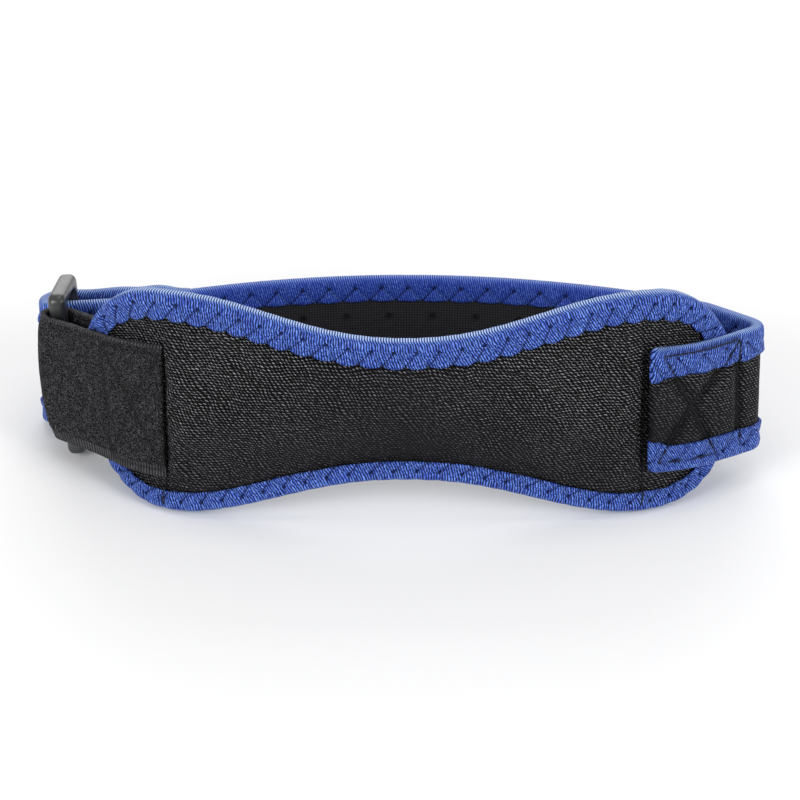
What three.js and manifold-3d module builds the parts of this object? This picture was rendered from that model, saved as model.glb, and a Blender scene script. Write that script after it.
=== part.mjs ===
// A patella strap, closed and standing: a padded panel for the front of the knee, bound all round in
// elastic tape, a taped band that runs round the back, and a plastic ring on a folded tab that the band
// turns back through. Millimetres. The loop is drawn level, with z = 0 halfway up the strap and y = 0 at
// the middle of the panel, and is then leaned back until it stands on the panel's two lobes and on the
// back of the band.
import * as THREE from 'three';
import { mergeVertices } from 'three/addons/utils/BufferGeometryUtils.js';
import Module from 'manifold-3d';

const wasm = await Module();
wasm.setup();

// The panel, flat. Its outline is a bow tie with round ends.
const PANEL_LENGTH = 196;
const LOBE_HEIGHT = 66.8;
const WAIST_HEIGHT = 42.4;
const LOBE_REACH = 66.5; // from the middle to where the panel is tallest
const WAIST_EASE = 1.12; // over 1 keeps the waist narrow for longer
const END_ROUNDNESS = 2.4; // 2 is an elliptical end
const PANEL_LIFT = 1.5; // the panel's centre line above the strap's
const PANEL_THICK = 3.6;
const PANEL_TAPE_THICK = 1.0;
const PANEL_TAPE_LEG = { top: 7.8, bottom: 6.2 }; // how far the folded tape reaches in

// The cushion inside the panel, which shows as a raised front between two cross seams
const CUSHION_REACH = 67; // from the middle to a cross seam
const CUSHION_SHOULDER = 9; // the length over which it rises from a seam
const CUSHION_RISE = 4.6;
const CUSHION_MARGIN = 1.4; // from the tape's inner edge to where the rise starts

// The strap: the band, its tapes and the ring's tab are all this wide
const STRAP_WIDTH = 38;
const BAND_THICK = 1.8;
const BAND_TAPE_THICK = 0.8;
const BAND_TAPE_LEG = { top: 7.4, bottom: 6.8 };
const BAND_END_GAP = 2; // from the cushion's right seam to the band's sewn end
const TAB_THICK = 1.8;
const TAB_FRONT_GAP = 1.5; // from the cushion's left seam to the tab's sewn end in front of the panel
const TAB_BACK_REACH = 74; // from the panel's middle to the tab's end behind it
const FREE_END_LAP = 12; // how far the band lies flat on itself past the ring
const FREE_END_RUN = 24; // from the ring's back bar to where it has come down flat
const FREE_END_ANGLE = 110; // where it leaves the bar, in degrees anticlockwise from the right

// The ring
const RING_BAR = 4.4; // width of its two upright bars
const RING_RAIL = 4.1; // width of its top and bottom
const RING_THICK = 5;
const RING_CORNER = 2.8; // three of its outer corners
const RING_HEEL_CORNER = 7.2; // and its lower one at the back, which stays clear of the floor
const RING_SLOT_CORNER = 1.8;
const RING_EDGE = 1.5; // rounding of all its edges
const RING_PLAY = 1.05; // between the strap's edge and the ring's top or bottom
const RING_RISE = 0.7; // how far it has slid up on the strap
const RING_SLOT_ROOM = 1.5; // left over in its slot between the tab and the band
const RING_REACH = 7.8; // from the panel's left tip to the middle of the front bar
const RING_YAW = 6.5; // degrees off square to the panel
const RING_LEAN = 5.5; // degrees that its top leans outwards
const LEAN_CORE = 16; // around the ring's middle the tab and the panel lean with it
const LEAN_FADE = 34; // and this much further out nothing leans
const TAB_SLACK = 0.6; // the tab's looseness round the ring's front bar
const BAND_SLACK = 1.6; // the band's looseness round the ring's back bar, which lets it lean less
const BAND_LEAN = 0.2; // the band's lean there as a share of the ring's

// The loop from above. The panel is nearly flat in the middle, bends, and then runs straight to each tip.
const SIDES = {
  left: { middle: 0.58, bend: 0.26, angle: 40 },
  right: { middle: 0.62, bend: 0.26, angle: 36 },
};
const MIDDLE_RADIUS = 400;
const LOOP_DEPTH = 59; // from the panel's middle to the band's, at the back
const BACK_RADIUS = 172;
const BEND_REACH = 102.5; // from the panel's middle to the outside of the right bend
const BEND_RADIUS = 4.6;
const BEND_BACK = 0.37; // the bend's place between the panel's middle and the back

// Clearances
const FIT = 0.35; // between pieces that touch on the real strap
const PRESS = 0.3; // how far soft edges press flat where they stand

// How fine the faceted surfaces are
const PANEL_STATIONS = 52;
const TAPE_STATIONS = 112;
const PATH_STEP = 3.6;
const PATH_TURN = 20; // degrees between points on a tight bend

const STRAP_HALF = STRAP_WIDTH / 2;
const BAND_HALF = BAND_THICK / 2 + FIT + BAND_TAPE_THICK; // with its tapes
const PANEL_HALF = PANEL_THICK / 2 + FIT + PANEL_TAPE_THICK; // with its tape
const bandEndReach = CUSHION_REACH + BAND_END_GAP;
const tabFrontReach = CUSHION_REACH + TAB_FRONT_GAP;
const rad = THREE.MathUtils.degToRad;
const { lerp, smoothstep } = THREE.MathUtils;

// The panel's half height at a distance from its middle, for an outline drawn in by inset all round
function halfHeight(along, inset = 0) {
  const lobe = LOBE_HEIGHT / 2 - inset;
  const waist = WAIST_HEIGHT / 2 - inset;
  const reach = Math.abs(along);
  if (reach < LOBE_REACH) {
    const swing = Math.PI * (reach / LOBE_REACH) ** WAIST_EASE;
    return waist + ((lobe - waist) * (1 - Math.cos(swing))) / 2;
  }
  const past = (reach - LOBE_REACH) / (PANEL_LENGTH / 2 - inset - LOBE_REACH);
  return lobe * Math.max(0, 1 - past ** END_ROUNDNESS) ** (1 / END_ROUNDNESS);
}

// A point of the panel's middle surface seen from above, with the heading towards the tip and the
// outward normal
function panelPlan(along) {
  const side = along < 0 ? SIDES.left : SIDES.right;
  const sign = along < 0 ? -1 : 1;
  const reach = Math.abs(along);
  const middle = (side.middle * PANEL_LENGTH) / 2;
  const bend = (side.bend * PANEL_LENGTH) / 2;
  const startAngle = middle / MIDDLE_RADIUS;
  const endAngle = rad(side.angle);
  const bendRadius = bend / (endAngle - startAngle);
  const onMiddle = Math.min(reach, middle) / MIDDLE_RADIUS;
  const point = new THREE.Vector2(Math.sin(onMiddle), 1 - Math.cos(onMiddle)).multiplyScalar(MIDDLE_RADIUS);
  let angle = onMiddle;
  if (reach > middle) {
    angle = startAngle + Math.min(reach - middle, bend) / bendRadius;
    point.x += bendRadius * (Math.sin(angle) - Math.sin(startAngle));
    point.y += bendRadius * (Math.cos(startAngle) - Math.cos(angle));
  }
  const straight = Math.max(0, reach - middle - bend);
  point.x += straight * Math.cos(angle);
  point.y += straight * Math.sin(angle);
  return {
    point: new THREE.Vector2(sign * point.x, point.y),
    heading: new THREE.Vector2(sign * Math.cos(angle), Math.sin(angle)),
    out: new THREE.Vector2(sign * Math.sin(angle), -Math.cos(angle)),
  };
}

// A plan point off the panel's middle surface, in front of it where off is positive
function offPanel(along, off) {
  const { point, out } = panelPlan(along);
  return point.clone().addScaledVector(out, off);
}

// How far the panel's tape reaches in, at a height above or below the panel's centre line
function panelTapeLeg(up) {
  const { top, bottom } = PANEL_TAPE_LEG;
  return lerp(bottom, top, smoothstep(up, -WAIST_HEIGHT / 2, WAIST_HEIGHT / 2));
}

// Where the strap starts to cross the panel's tape
const tapeReach = spread(LOBE_REACH, PANEL_LENGTH / 2, 0.5)
  .findLast((reach) => halfHeight(reach, PANEL_TAPE_LEG.top) > STRAP_WIDTH / 2) - 3 * FIT;

// How far a layer sewn on the panel stands off its middle surface: close in, and then up over the tape
function layerOff(along, sewnEnd, halfThick) {
  const low = PANEL_THICK / 2 + FIT + halfThick;
  const high = PANEL_HALF + FIT + halfThick;
  return lerp(low, high, smoothstep(Math.abs(along), sewnEnd, tapeReach));
}

// Where the line from a point touches a circle that it then follows clockwise, or has left clockwise
// when arriving
function tangentPoint(from, centre, radius, arriving) {
  const gap = centre.clone().sub(from);
  const turn = Math.acos(Math.min(1, radius / gap.length())) * (arriving ? -1 : 1);
  const angle = Math.atan2(-gap.y, -gap.x) + turn;
  return centre.clone().add(new THREE.Vector2(Math.cos(angle), Math.sin(angle)).multiplyScalar(radius));
}

// Points of an arc between two points of a circle, both included
function arcPoints(centre, from, to, clockwise) {
  const start = Math.atan2(from.y - centre.y, from.x - centre.x);
  let sweep = Math.atan2(to.y - centre.y, to.x - centre.x) - start;
  const full = 2 * Math.PI;
  sweep = clockwise ? -((((-sweep % full) + full) % full)) : ((sweep % full) + full) % full;
  const steps = Math.max(2, Math.ceil(Math.abs(sweep) / rad(PATH_TURN)));
  const radius = from.distanceTo(centre);
  return Array.from({ length: steps + 1 }, (_, i) => {
    const angle = start + (sweep * i) / steps;
    return centre.clone().add(new THREE.Vector2(Math.cos(angle), Math.sin(angle)).multiplyScalar(radius));
  });
}

// Values from a to b, both included, no further apart than step
function spread(a, b, step) {
  const count = Math.max(1, Math.ceil(Math.abs(b - a) / step));
  return Array.from({ length: count + 1 }, (_, i) => lerp(a, b, i / count));
}

// The ring's bars seen from above. The tab turns round the front bar and the band round the back one.
const tip = panelPlan(-PANEL_LENGTH / 2);
const barCorner = Math.hypot(RING_THICK / 2 - RING_EDGE, RING_BAR / 2 - RING_EDGE) + RING_EDGE;
const tabWrap = barCorner + FIT + TAB_THICK / 2 + TAB_SLACK;
const bandWrap = barCorner + FIT + BAND_HALF + BAND_SLACK;
const barSpacing = tabWrap + TAB_THICK / 2 + RING_SLOT_ROOM + BAND_HALF + bandWrap;
const ringAlong = new THREE.Vector2(Math.sin(rad(RING_YAW)), Math.cos(rad(RING_YAW)));
const frontBar = tip.point.clone().addScaledVector(tip.heading, RING_REACH);
const backBar = frontBar.clone().addScaledVector(ringAlong, barSpacing);
const ringCentre = frontBar.clone().lerp(backBar, 0.5);

// The tab, and the panel's end in it, lean outwards with the ring.
function lean(point, share = 1) {
  const away = Math.hypot(point.x - ringCentre.x, point.y - ringCentre.y);
  const fade = 1 - smoothstep(away, LEAN_CORE, LEAN_CORE + LEAN_FADE);
  point.x -= point.z * Math.tan(rad(RING_LEAN)) * share * fade;
  return point;
}

// The middle line of the tab, from its sewn end in front of the panel round the front bar to its end behind
function tabPath() {
  const half = TAB_THICK / 2;
  const tipReach = PANEL_LENGTH / 2;
  const front = spread(tabFrontReach, tipReach, 2 * PATH_STEP)
    .map((reach) => offPanel(-reach, layerOff(reach, tabFrontReach, half)));
  const back = spread(tipReach, TAB_BACK_REACH, 2 * PATH_STEP)
    .map((reach) => offPanel(-reach, -layerOff(reach, TAB_BACK_REACH, half)));
  const on = tangentPoint(front.at(-1), frontBar, tabWrap, true);
  const off = tangentPoint(back[0], frontBar, tabWrap, false);
  return [...front, ...arcPoints(frontBar, on, off, true), ...back];
}

// The band's back, as a shallow bow
function backPoint(x, out = 0) {
  const slope = -x / BACK_RADIUS;
  const normal = new THREE.Vector2(-slope, 1).normalize();
  return new THREE.Vector2(x, LOOP_DEPTH - (x * x) / (2 * BACK_RADIUS)).addScaledVector(normal, out);
}

// The middle line of the band, from its sewn end on the panel round the right bend and the back and
// through the ring
function bandPath() {
  const tipReach = PANEL_LENGTH / 2;
  const sewn = spread(bandEndReach, tipReach - 2, 1.6 * PATH_STEP)
    .map((reach) => offPanel(reach, layerOff(reach, bandEndReach, BAND_HALF)));
  const bend = new THREE.Vector2(BEND_REACH - BAND_HALF - BEND_RADIUS, LOOP_DEPTH * BEND_BACK);
  const rightBack = backPoint(bend.x - 2 * BEND_RADIUS);
  const intoBend = tangentPoint(sewn.at(-1), bend, BEND_RADIUS, false);
  const outOfBend = tangentPoint(rightBack, bend, BEND_RADIUS, true);
  const leftEnd = backBar.x + 2.6 * bandWrap;
  const back = spread(rightBack.x, leftEnd, 2 * PATH_STEP).map((x) => backPoint(x));
  const intoRing = tangentPoint(back.at(-1), backBar, bandWrap, true);
  const leave = rad(FREE_END_ANGLE);
  const leaving = new THREE.Vector2(Math.cos(leave), Math.sin(leave));
  const outOfRing = backBar.clone().addScaledVector(leaving, bandWrap);
  const layer = 2 * BAND_HALF + FIT;
  const down = backBar.x + FREE_END_RUN;
  const flat = spread(down, down + FREE_END_LAP, 2 * PATH_STEP).map((x) => backPoint(x, layer));
  const heading = new THREE.Vector2(Math.sin(leave), -Math.cos(leave));
  const arrival = flat[1].clone().sub(flat[0]).normalize();
  const rise = new THREE.CubicBezierCurve(
    outOfRing,
    outOfRing.clone().addScaledVector(heading, FREE_END_RUN / 4),
    flat[0].clone().addScaledVector(arrival, -FREE_END_RUN / 3),
    flat[0],
  );
  return [
    ...sewn,
    ...arcPoints(bend, intoBend, outOfBend, false),
    ...back,
    ...arcPoints(backBar, intoRing, outOfRing, true),
    ...rise.getPoints(6).slice(1, -1),
    ...flat,
  ];
}

// Stations along a middle line: each has its point and the unit normal to its left
function stations(points) {
  return points.map((point, i) => {
    const before = points[Math.max(0, i - 1)];
    const after = points[Math.min(points.length - 1, i + 1)];
    const along = after.clone().sub(before).normalize();
    return { point, left: new THREE.Vector2(-along.y, along.x) };
  });
}

// One closed body from closed outlines with the same number of points. A row of them has its two ends
// capped, with section giving the outline's flat shape, and a closed ring of them has none.
function skin(outlines, section = null) {
  const count = outlines[0].length;
  const rows = outlines.length;
  const index = [];
  for (let i = 0; i < (section ? rows - 1 : rows); i++) {
    for (let j = 0; j < count; j++) {
      const a = i * count + j;
      const b = i * count + ((j + 1) % count);
      const c = ((i + 1) % rows) * count + j;
      const d = ((i + 1) % rows) * count + ((j + 1) % count);
      index.push(a, c, b, b, c, d);
    }
  }
  if (section) {
    const last = (rows - 1) * count;
    const clockwise = THREE.ShapeUtils.isClockWise(section);
    for (const [a, b, c] of THREE.ShapeUtils.triangulateShape(section, [])) {
      if (clockwise) index.push(a, c, b, last + a, last + b, last + c);
      else index.push(a, b, c, last + a, last + c, last + b);
    }
  }
  const geometry = new THREE.BufferGeometry().setFromPoints(outlines.flat());
  geometry.setIndex(index);
  return geometry;
}

// A solid strip along a middle line, with a section of points across (to the left) and up, and its
// share of the lean
function sweep(path, section, share) {
  const outlines = stations(path).map(({ point, left }) =>
    section.map(([across, up]) =>
      lean(new THREE.Vector3(point.x + left.x * across, point.y + left.y * across, up), share)));
  return skin(outlines, section.map(([across, up]) => new THREE.Vector2(across, up)));
}

// The section of a tape folded over an edge, whose outer height is edge. Side is 1 at a top edge and -1
// at a bottom one.
function foldedTape(edge, side, leg, coreHalf, thick) {
  const inner = coreHalf + FIT;
  const outer = inner + thick;
  const round = outer * 0.5;
  const up = (inwards) => edge - side * inwards;
  const half = [[inner, thick], [inner, leg], [outer, leg], [outer, round], [round, 0]];
  const right = half.map(([across, inwards]) => [across, up(inwards)]);
  const left = half.map(([across, inwards]) => [-across, up(inwards)]).reverse();
  return [...right, ...left];
}

// The panel, as sections from its left tip to its right one, with the cushion's rise on the front
function panelGeometry() {
  const inset = PANEL_TAPE_THICK + 2 * FIT;
  const reach = PANEL_LENGTH / 2 - inset;
  const shares = [1, 0.9, 0.72, 0.5, 0.25, 0, -0.25, -0.5, -0.72, -0.9, -1];
  const outlines = [];
  for (let i = 0; i <= PANEL_STATIONS; i++) {
    // closer together near the tips, where the outline turns quickly
    const along = -reach * Math.cos((Math.PI * (i + 0.35)) / (PANEL_STATIONS + 0.7));
    const height = halfHeight(along, inset);
    const inside = (leg) => Math.max(height * 0.3, halfHeight(along) - leg - CUSHION_MARGIN);
    const cushionTop = inside(PANEL_TAPE_LEG.top);
    const cushionBottom = -inside(PANEL_TAPE_LEG.bottom);
    const shoulder = smoothstep(CUSHION_REACH - Math.abs(along), 0, CUSHION_SHOULDER);
    const { point, out } = panelPlan(along);
    const place = (up, off) => {
      const plan = point.clone().addScaledVector(out, off);
      return new THREE.Vector3(plan.x, plan.y, PANEL_LIFT + up);
    };
    const front = shares.map((share) => {
      const crown = (1 - share ** 4) ** 0.75;
      const up = lerp(cushionBottom, cushionTop, (1 + share) / 2);
      return place(up, PANEL_THICK / 2 + CUSHION_RISE * shoulder * crown);
    });
    const outline = [
      place(height, PANEL_THICK / 2),
      ...front,
      place(-height, PANEL_THICK / 2),
      place(-height, -PANEL_THICK / 2),
      place(height, -PANEL_THICK / 2),
    ];
    outlines.push(outline.map((point) => lean(point)));
  }
  const bulge = shares.map((share) => [share * 0.8, 2 - share ** 2]);
  const flat = [[1, 1], ...bulge, [-1, 1], [-1, -1], [1, -1]];
  return skin(outlines, flat.map(([up, off]) => new THREE.Vector2(up, off)));
}

// Points of the panel's outline, evenly spaced all the way round, with the flat inward normal at each
function panelOutline(count) {
  const fine = [];
  const half = PANEL_LENGTH / 2;
  for (let i = 0; i < 720; i++) {
    const angle = (2 * Math.PI * i) / 720;
    const along = half * Math.cos(angle);
    fine.push(new THREE.Vector2(along, Math.sign(Math.sin(angle)) * halfHeight(along)));
  }
  const lengths = [0];
  for (let i = 1; i <= fine.length; i++) {
    lengths.push(lengths[i - 1] + fine[i % fine.length].distanceTo(fine[i - 1]));
  }
  const evenly = Array.from({ length: count }, (_, k) => {
    const wanted = (lengths.at(-1) * k) / count;
    const i = lengths.findIndex((length) => length > wanted) - 1;
    const share = (wanted - lengths[i]) / (lengths[i + 1] - lengths[i]);
    return fine[i].clone().lerp(fine[(i + 1) % fine.length], share);
  });
  return evenly.map((point, k) => {
    const along = evenly[(k + 1) % count].clone().sub(evenly[(k + count - 1) % count]).normalize();
    return { point, inward: new THREE.Vector2(-along.y, along.x) };
  });
}

// The tape round the panel's edge
function panelTapeGeometry() {
  const outlines = panelOutline(TAPE_STATIONS).map(({ point, inward }) => {
    const section = foldedTape(0, 1, panelTapeLeg(point.y), PANEL_THICK / 2, PANEL_TAPE_THICK);
    return section.map(([off, up]) => {
      const flat = point.clone().addScaledVector(inward, -up);
      const plan = offPanel(flat.x, off);
      return lean(new THREE.Vector3(plan.x, plan.y, PANEL_LIFT + flat.y));
    });
  });
  return skin(outlines);
}

function bandTapeGeometry(path, side) {
  const leg = side > 0 ? BAND_TAPE_LEG.top : BAND_TAPE_LEG.bottom;
  return sweep(path, foldedTape(side * STRAP_HALF, side, leg, BAND_THICK / 2, BAND_TAPE_THICK), BAND_LEAN);
}

function bandGeometry(path) {
  const half = BAND_THICK / 2;
  const up = STRAP_HALF - BAND_TAPE_THICK - FIT;
  return sweep(path, [[half, up], [half, -up], [-half, -up], [-half, up]], BAND_LEAN);
}

function tabGeometry() {
  const half = TAB_THICK / 2;
  const section = [[half, STRAP_HALF], [half, -STRAP_HALF], [-half, -STRAP_HALF], [-half, STRAP_HALF]];
  return sweep(tabPath(), section, 1);
}

// A rectangle with round corners, of which the lower right one may have its own radius
function roundedRectangle(width, height, corner, lowerRight = corner, Kind = THREE.Shape) {
  const x = width / 2;
  const y = height / 2;
  const outline = new Kind();
  outline.moveTo(x, -y + lowerRight);
  outline.absarc(x - corner, y - corner, corner, 0, Math.PI / 2);
  outline.absarc(-x + corner, y - corner, corner, Math.PI / 2, Math.PI);
  outline.absarc(-x + corner, -y + corner, corner, Math.PI, 1.5 * Math.PI);
  outline.absarc(x - lowerRight, -y + lowerRight, lowerRight, 1.5 * Math.PI, 2 * Math.PI);
  return outline;
}

// The ring lies flat in its own frame: its upright bars run along y.
function ringGeometry() {
  const slotHeight = STRAP_WIDTH + 2 * RING_PLAY;
  const ringHeight = slotHeight + 2 * RING_RAIL;
  const shape = roundedRectangle(barSpacing + RING_BAR, ringHeight, RING_CORNER, RING_HEEL_CORNER);
  const slotCorner = RING_SLOT_CORNER;
  shape.holes.push(roundedRectangle(barSpacing - RING_BAR, slotHeight, slotCorner, slotCorner, THREE.Path));
  const geometry = new THREE.ExtrudeGeometry(shape, {
    depth: RING_THICK - 2 * RING_EDGE,
    bevelThickness: RING_EDGE,
    bevelSize: RING_EDGE,
    bevelOffset: -RING_EDGE,
    bevelSegments: 2,
    curveSegments: 4,
  });
  return geometry.translate(0, 0, -(RING_THICK - 2 * RING_EDGE) / 2);
}

// A geometry as a solid that can be cut, with its faces turned outwards
function toSolid(geometry) {
  const bare = new THREE.BufferGeometry().setAttribute('position', geometry.getAttribute('position'));
  bare.setIndex(geometry.index);
  const merged = mergeVertices(bare, 1e-4);
  const make = (triVerts) => new wasm.Manifold(
    new wasm.Mesh({ numProp: 3, vertProperties: merged.attributes.position.array, triVerts }));
  const faces = new Uint32Array(merged.index.array);
  const solid = make(faces);
  return solid.volume() > 0 ? solid : make(faces.reverse());
}

function toGeometry(solid) {
  const { vertProperties, triVerts } = solid.getMesh();
  const geometry = new THREE.BufferGeometry();
  geometry.setAttribute('position', new THREE.BufferAttribute(vertProperties, 3));
  geometry.setIndex(new THREE.BufferAttribute(triVerts, 1));
  geometry.computeVertexNormals();
  return geometry;
}

// The line that the strap stands on, seen from the side. From its lowest point it is followed back along
// the lowest points until it has passed the middle of the loop.
function restingLine(points, middle) {
  let front = points.reduce((low, p) => (p.z < low.z ? p : low));
  for (;;) {
    const slopeTo = (p) => (p.z - front.z) / (p.y - front.y);
    const behind = points.filter((p) => p.y > front.y + 1e-3);
    const next = behind.reduce((low, p) => (slopeTo(p) < slopeTo(low) ? p : low));
    if (next.y > middle) return { front, slope: slopeTo(next) };
    front = next;
  }
}

const finishes = {
  knit: new THREE.MeshStandardMaterial({ color: 0x1b1b1e, roughness: 0.85, metalness: 0 }),
  tape: new THREE.MeshStandardMaterial({ color: 0x2a4fb8, roughness: 0.6, metalness: 0 }),
  loop: new THREE.MeshStandardMaterial({ color: 0x242527, roughness: 0.95, metalness: 0 }),
  plastic: new THREE.MeshStandardMaterial({ color: 0x2e2f31, roughness: 0.35, metalness: 0 }),
};

const band = bandPath();
const soft = {
  pad_panel: [panelGeometry(), finishes.knit],
  pad_tape: [panelTapeGeometry(), finishes.tape],
  band: [bandGeometry(band), finishes.knit],
  band_tape_top: [bandTapeGeometry(band, 1), finishes.tape],
  band_tape_bottom: [bandTapeGeometry(band, -1), finishes.tape],
  ring_tab: [tabGeometry(), finishes.loop],
};

const ring = new THREE.Mesh(ringGeometry(), finishes.plastic);
ring.name = 'ring';
ring.rotation.order = 'ZYX';
// the ring's flat frame stood upright, with its lean and then its yaw
const uprightRing = new THREE.Quaternion()
  .setFromAxisAngle(new THREE.Vector3(1, 0, 0), Math.PI / 2 - rad(RING_LEAN));
ring.quaternion
  .setFromAxisAngle(new THREE.Vector3(0, 0, 1), Math.PI / 2 - rad(RING_YAW))
  .multiply(uprightRing);
ring.position.copy(lean(new THREE.Vector3(ringCentre.x, ringCentre.y, RING_RISE)));
ring.updateMatrix();

// The strap leans back until it stands, and its soft edges are pressed flat there.
const outside = Object.values(soft).map(([geometry]) => geometry);
outside.push(ring.geometry.clone().applyMatrix4(ring.matrix));
const points = outside.flatMap((geometry) => {
  const { array } = geometry.getAttribute('position');
  return Array.from({ length: array.length / 3 }, (_, i) => new THREE.Vector3().fromArray(array, 3 * i));
});
const { front, slope } = restingLine(points, LOOP_DEPTH * 0.6);
const tilt = Math.atan(slope);
const ground = new THREE.BoxGeometry(4 * PANEL_LENGTH, 4 * PANEL_LENGTH, PANEL_LENGTH)
  .translate(0, 0, PRESS - PANEL_LENGTH / 2)
  .rotateX(tilt)
  .translate(0, front.y, front.z);
const groundSolid = toSolid(ground);

const standing = new THREE.Group();
standing.rotation.x = -tilt;
standing.add(ring);
for (const [name, [geometry, finish]] of Object.entries(soft)) {
  const mesh = new THREE.Mesh(toGeometry(toSolid(geometry).subtract(groundSolid)), finish);
  mesh.name = name;
  standing.add(mesh);
}

// The origin is in the middle of the footprint, on the surface that the strap stands on.
const patellaStrap = new THREE.Group();
patellaStrap.add(standing);
const box = new THREE.Box3().setFromObject(patellaStrap, true);
const middle = box.getCenter(new THREE.Vector3());
standing.position.set(-middle.x, -middle.y, -box.min.z);

export default patellaStrap;
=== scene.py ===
"""A patella strap: a padded panel bound in ribbed blue tape, a taped band behind, and a ring on a folded tab.

Sizes are in millimetres, in a level frame whose z = 0 is halfway up the strap and whose y = 0 is in the
panel's middle. A Stance turns them into the metres of the finished part, which leans back on its lobes and
on the band's edge.
"""
import logging
import math
from dataclasses import dataclass, field
from enum import Enum
from typing import Callable, Optional, Sequence, Union

import bmesh
import bpy
from mathutils import Matrix, Vector, noise


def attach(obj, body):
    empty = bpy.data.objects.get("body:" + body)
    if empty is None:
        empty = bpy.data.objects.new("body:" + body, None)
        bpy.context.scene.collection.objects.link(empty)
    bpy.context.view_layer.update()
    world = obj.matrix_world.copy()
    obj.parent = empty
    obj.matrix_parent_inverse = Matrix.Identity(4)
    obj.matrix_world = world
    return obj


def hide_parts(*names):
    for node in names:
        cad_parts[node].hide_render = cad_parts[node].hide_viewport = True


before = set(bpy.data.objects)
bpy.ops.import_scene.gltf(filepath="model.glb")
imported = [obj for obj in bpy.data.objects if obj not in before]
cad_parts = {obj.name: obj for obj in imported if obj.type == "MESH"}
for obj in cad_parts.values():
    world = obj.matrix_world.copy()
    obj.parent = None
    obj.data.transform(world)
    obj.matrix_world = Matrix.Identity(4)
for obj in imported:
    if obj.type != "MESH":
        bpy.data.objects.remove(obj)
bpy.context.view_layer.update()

LOG = logging.getLogger("strap")
BODY = "root"
MM = 0.001
PER_METRE = 1000.0
FULL_TURN = 2 * math.pi
Colour = tuple[float, float, float]
Flat = tuple[float, float]


def smoothstep(x: float, low: float, high: float) -> float:
    """Ease from 0 at low to 1 at high."""
    t = min(1.0, max(0.0, (x - low) / (high - low)))
    return t * t * (3.0 - 2.0 * t)


def lerp(a: float, b: float, t: float) -> float:
    """The value a share t of the way from a to b."""
    return a + (b - a) * t


def hump(x: float, width: float) -> float:
    """A smooth hump, 1 at x = 0 and next to nothing past twice its width."""
    return math.exp(-((x / width) ** 2))


def wobble(x: float, y: float, z: float = 0.0) -> float:
    """Smooth noise from -1 to 1, the same on every run."""
    return noise.noise(Vector((x, y, z)))


@dataclass(frozen=True)
class Stance:
    """How the level frame is set down on the floor."""

    lean_back: float = math.radians(14.2283)
    offset: tuple[float, float, float] = (1.219, -28.043, 32.870)

    def place(self, x: float, y: float, z: float) -> Vector:
        """A point of the finished part, in metres, never under the floor."""
        c, s = math.cos(self.lean_back), math.sin(self.lean_back)
        dx, dy, dz = self.offset
        return Vector((x + dx, c * y + s * z + dy, max(0.0, c * z - s * y + dz))) * MM


STANCE = Stance()


@dataclass(frozen=True)
class Side:
    """One half of the panel from above: the nearly flat and the bent share of it, and its tip's angle."""

    middle: float
    bend: float
    angle: float


@dataclass(frozen=True)
class PanelShape:
    """The panel's flat outline and the way it is bent round the knee."""

    length: float = 196.0
    lobe_height: float = 66.8
    waist_height: float = 42.4
    lobe_reach: float = 66.5
    waist_ease: float = 1.12
    end_roundness: float = 2.4
    lift: float = 1.5
    thick: float = 3.6
    tape_thick: float = 1.0
    tape_leg_top: float = 7.8
    tape_leg_bottom: float = 6.2
    middle_radius: float = 400.0
    left: Side = Side(0.58, 0.26, 40.0)
    right: Side = Side(0.62, 0.26, 36.0)
    fit: float = 0.35
    shoulder_drop: Flat = (6.5, 4.0)
    shoulder_reach: Flat = (72.0, 102.0)
    shoulder_ease: float = 14.0

    @property
    def half(self) -> float:
        """Half of the panel's thickness with its tape on."""
        return self.thick / 2 + self.fit + self.tape_thick

    def half_height(self, along: float, inset: float = 0.0) -> float:
        """The half height at a distance from the middle, of an outline drawn in by inset."""
        lobe = self.lobe_height / 2 - inset
        waist = self.waist_height / 2 - inset
        reach = abs(along)
        if reach < self.lobe_reach:
            swing = math.pi * (reach / self.lobe_reach) ** self.waist_ease
            return waist + (lobe - waist) * (1 - math.cos(swing)) / 2
        past = (reach - self.lobe_reach) / (self.length / 2 - inset - self.lobe_reach)
        return lobe * max(0.0, 1 - past**self.end_roundness) ** (1 / self.end_roundness)

    def plan(self, along: float) -> tuple[Vector, Vector, Vector]:
        """Where the middle surface runs, seen from above.

        Args:
            along: distance from the panel's middle, negative to the left.

        Returns:
            The point, the heading towards the tip and the outward normal.
        """
        side = self.left if along < 0 else self.right
        sign = -1.0 if along < 0 else 1.0
        reach = abs(along)
        middle = side.middle * self.length / 2
        bend = side.bend * self.length / 2
        start = middle / self.middle_radius
        end = math.radians(side.angle)
        radius = bend / (end - start)
        turned = min(reach, middle) / self.middle_radius
        x = self.middle_radius * math.sin(turned)
        y = self.middle_radius * (1 - math.cos(turned))
        if reach > middle:
            turned = start + min(reach - middle, bend) / radius
            x += radius * (math.sin(turned) - math.sin(start))
            y += radius * (math.cos(start) - math.cos(turned))
        straight = max(0.0, reach - middle - bend)
        x += straight * math.cos(turned)
        y += straight * math.sin(turned)
        heading = Vector((sign * math.cos(turned), math.sin(turned)))
        return Vector((sign * x, y)), heading, Vector((sign * math.sin(turned), -math.cos(turned)))

    def height(self, along: float, up: float) -> float:
        """The height in the level frame of a flat place, whose upper corners are sewn a little lower."""
        drop = self.shoulder_drop[0] if along < 0 else self.shoulder_drop[1]
        drop *= smoothstep(abs(along), *self.shoulder_reach) * smoothstep(up, 0.0, self.shoulder_ease)
        return self.lift + up - drop

    def off(self, along: float, out: float) -> Vector:
        """A point from above that stands off the middle surface, in front of it where out is positive."""
        point, _, normal = self.plan(along)
        return point + normal * out

    def tape_leg(self, up: float) -> float:
        """How far the tape reaches in from the edge at a height above the panel's centre line."""
        half = self.waist_height / 2
        return lerp(self.tape_leg_bottom, self.tape_leg_top, smoothstep(up, -half, half))


PANEL = PanelShape()


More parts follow.
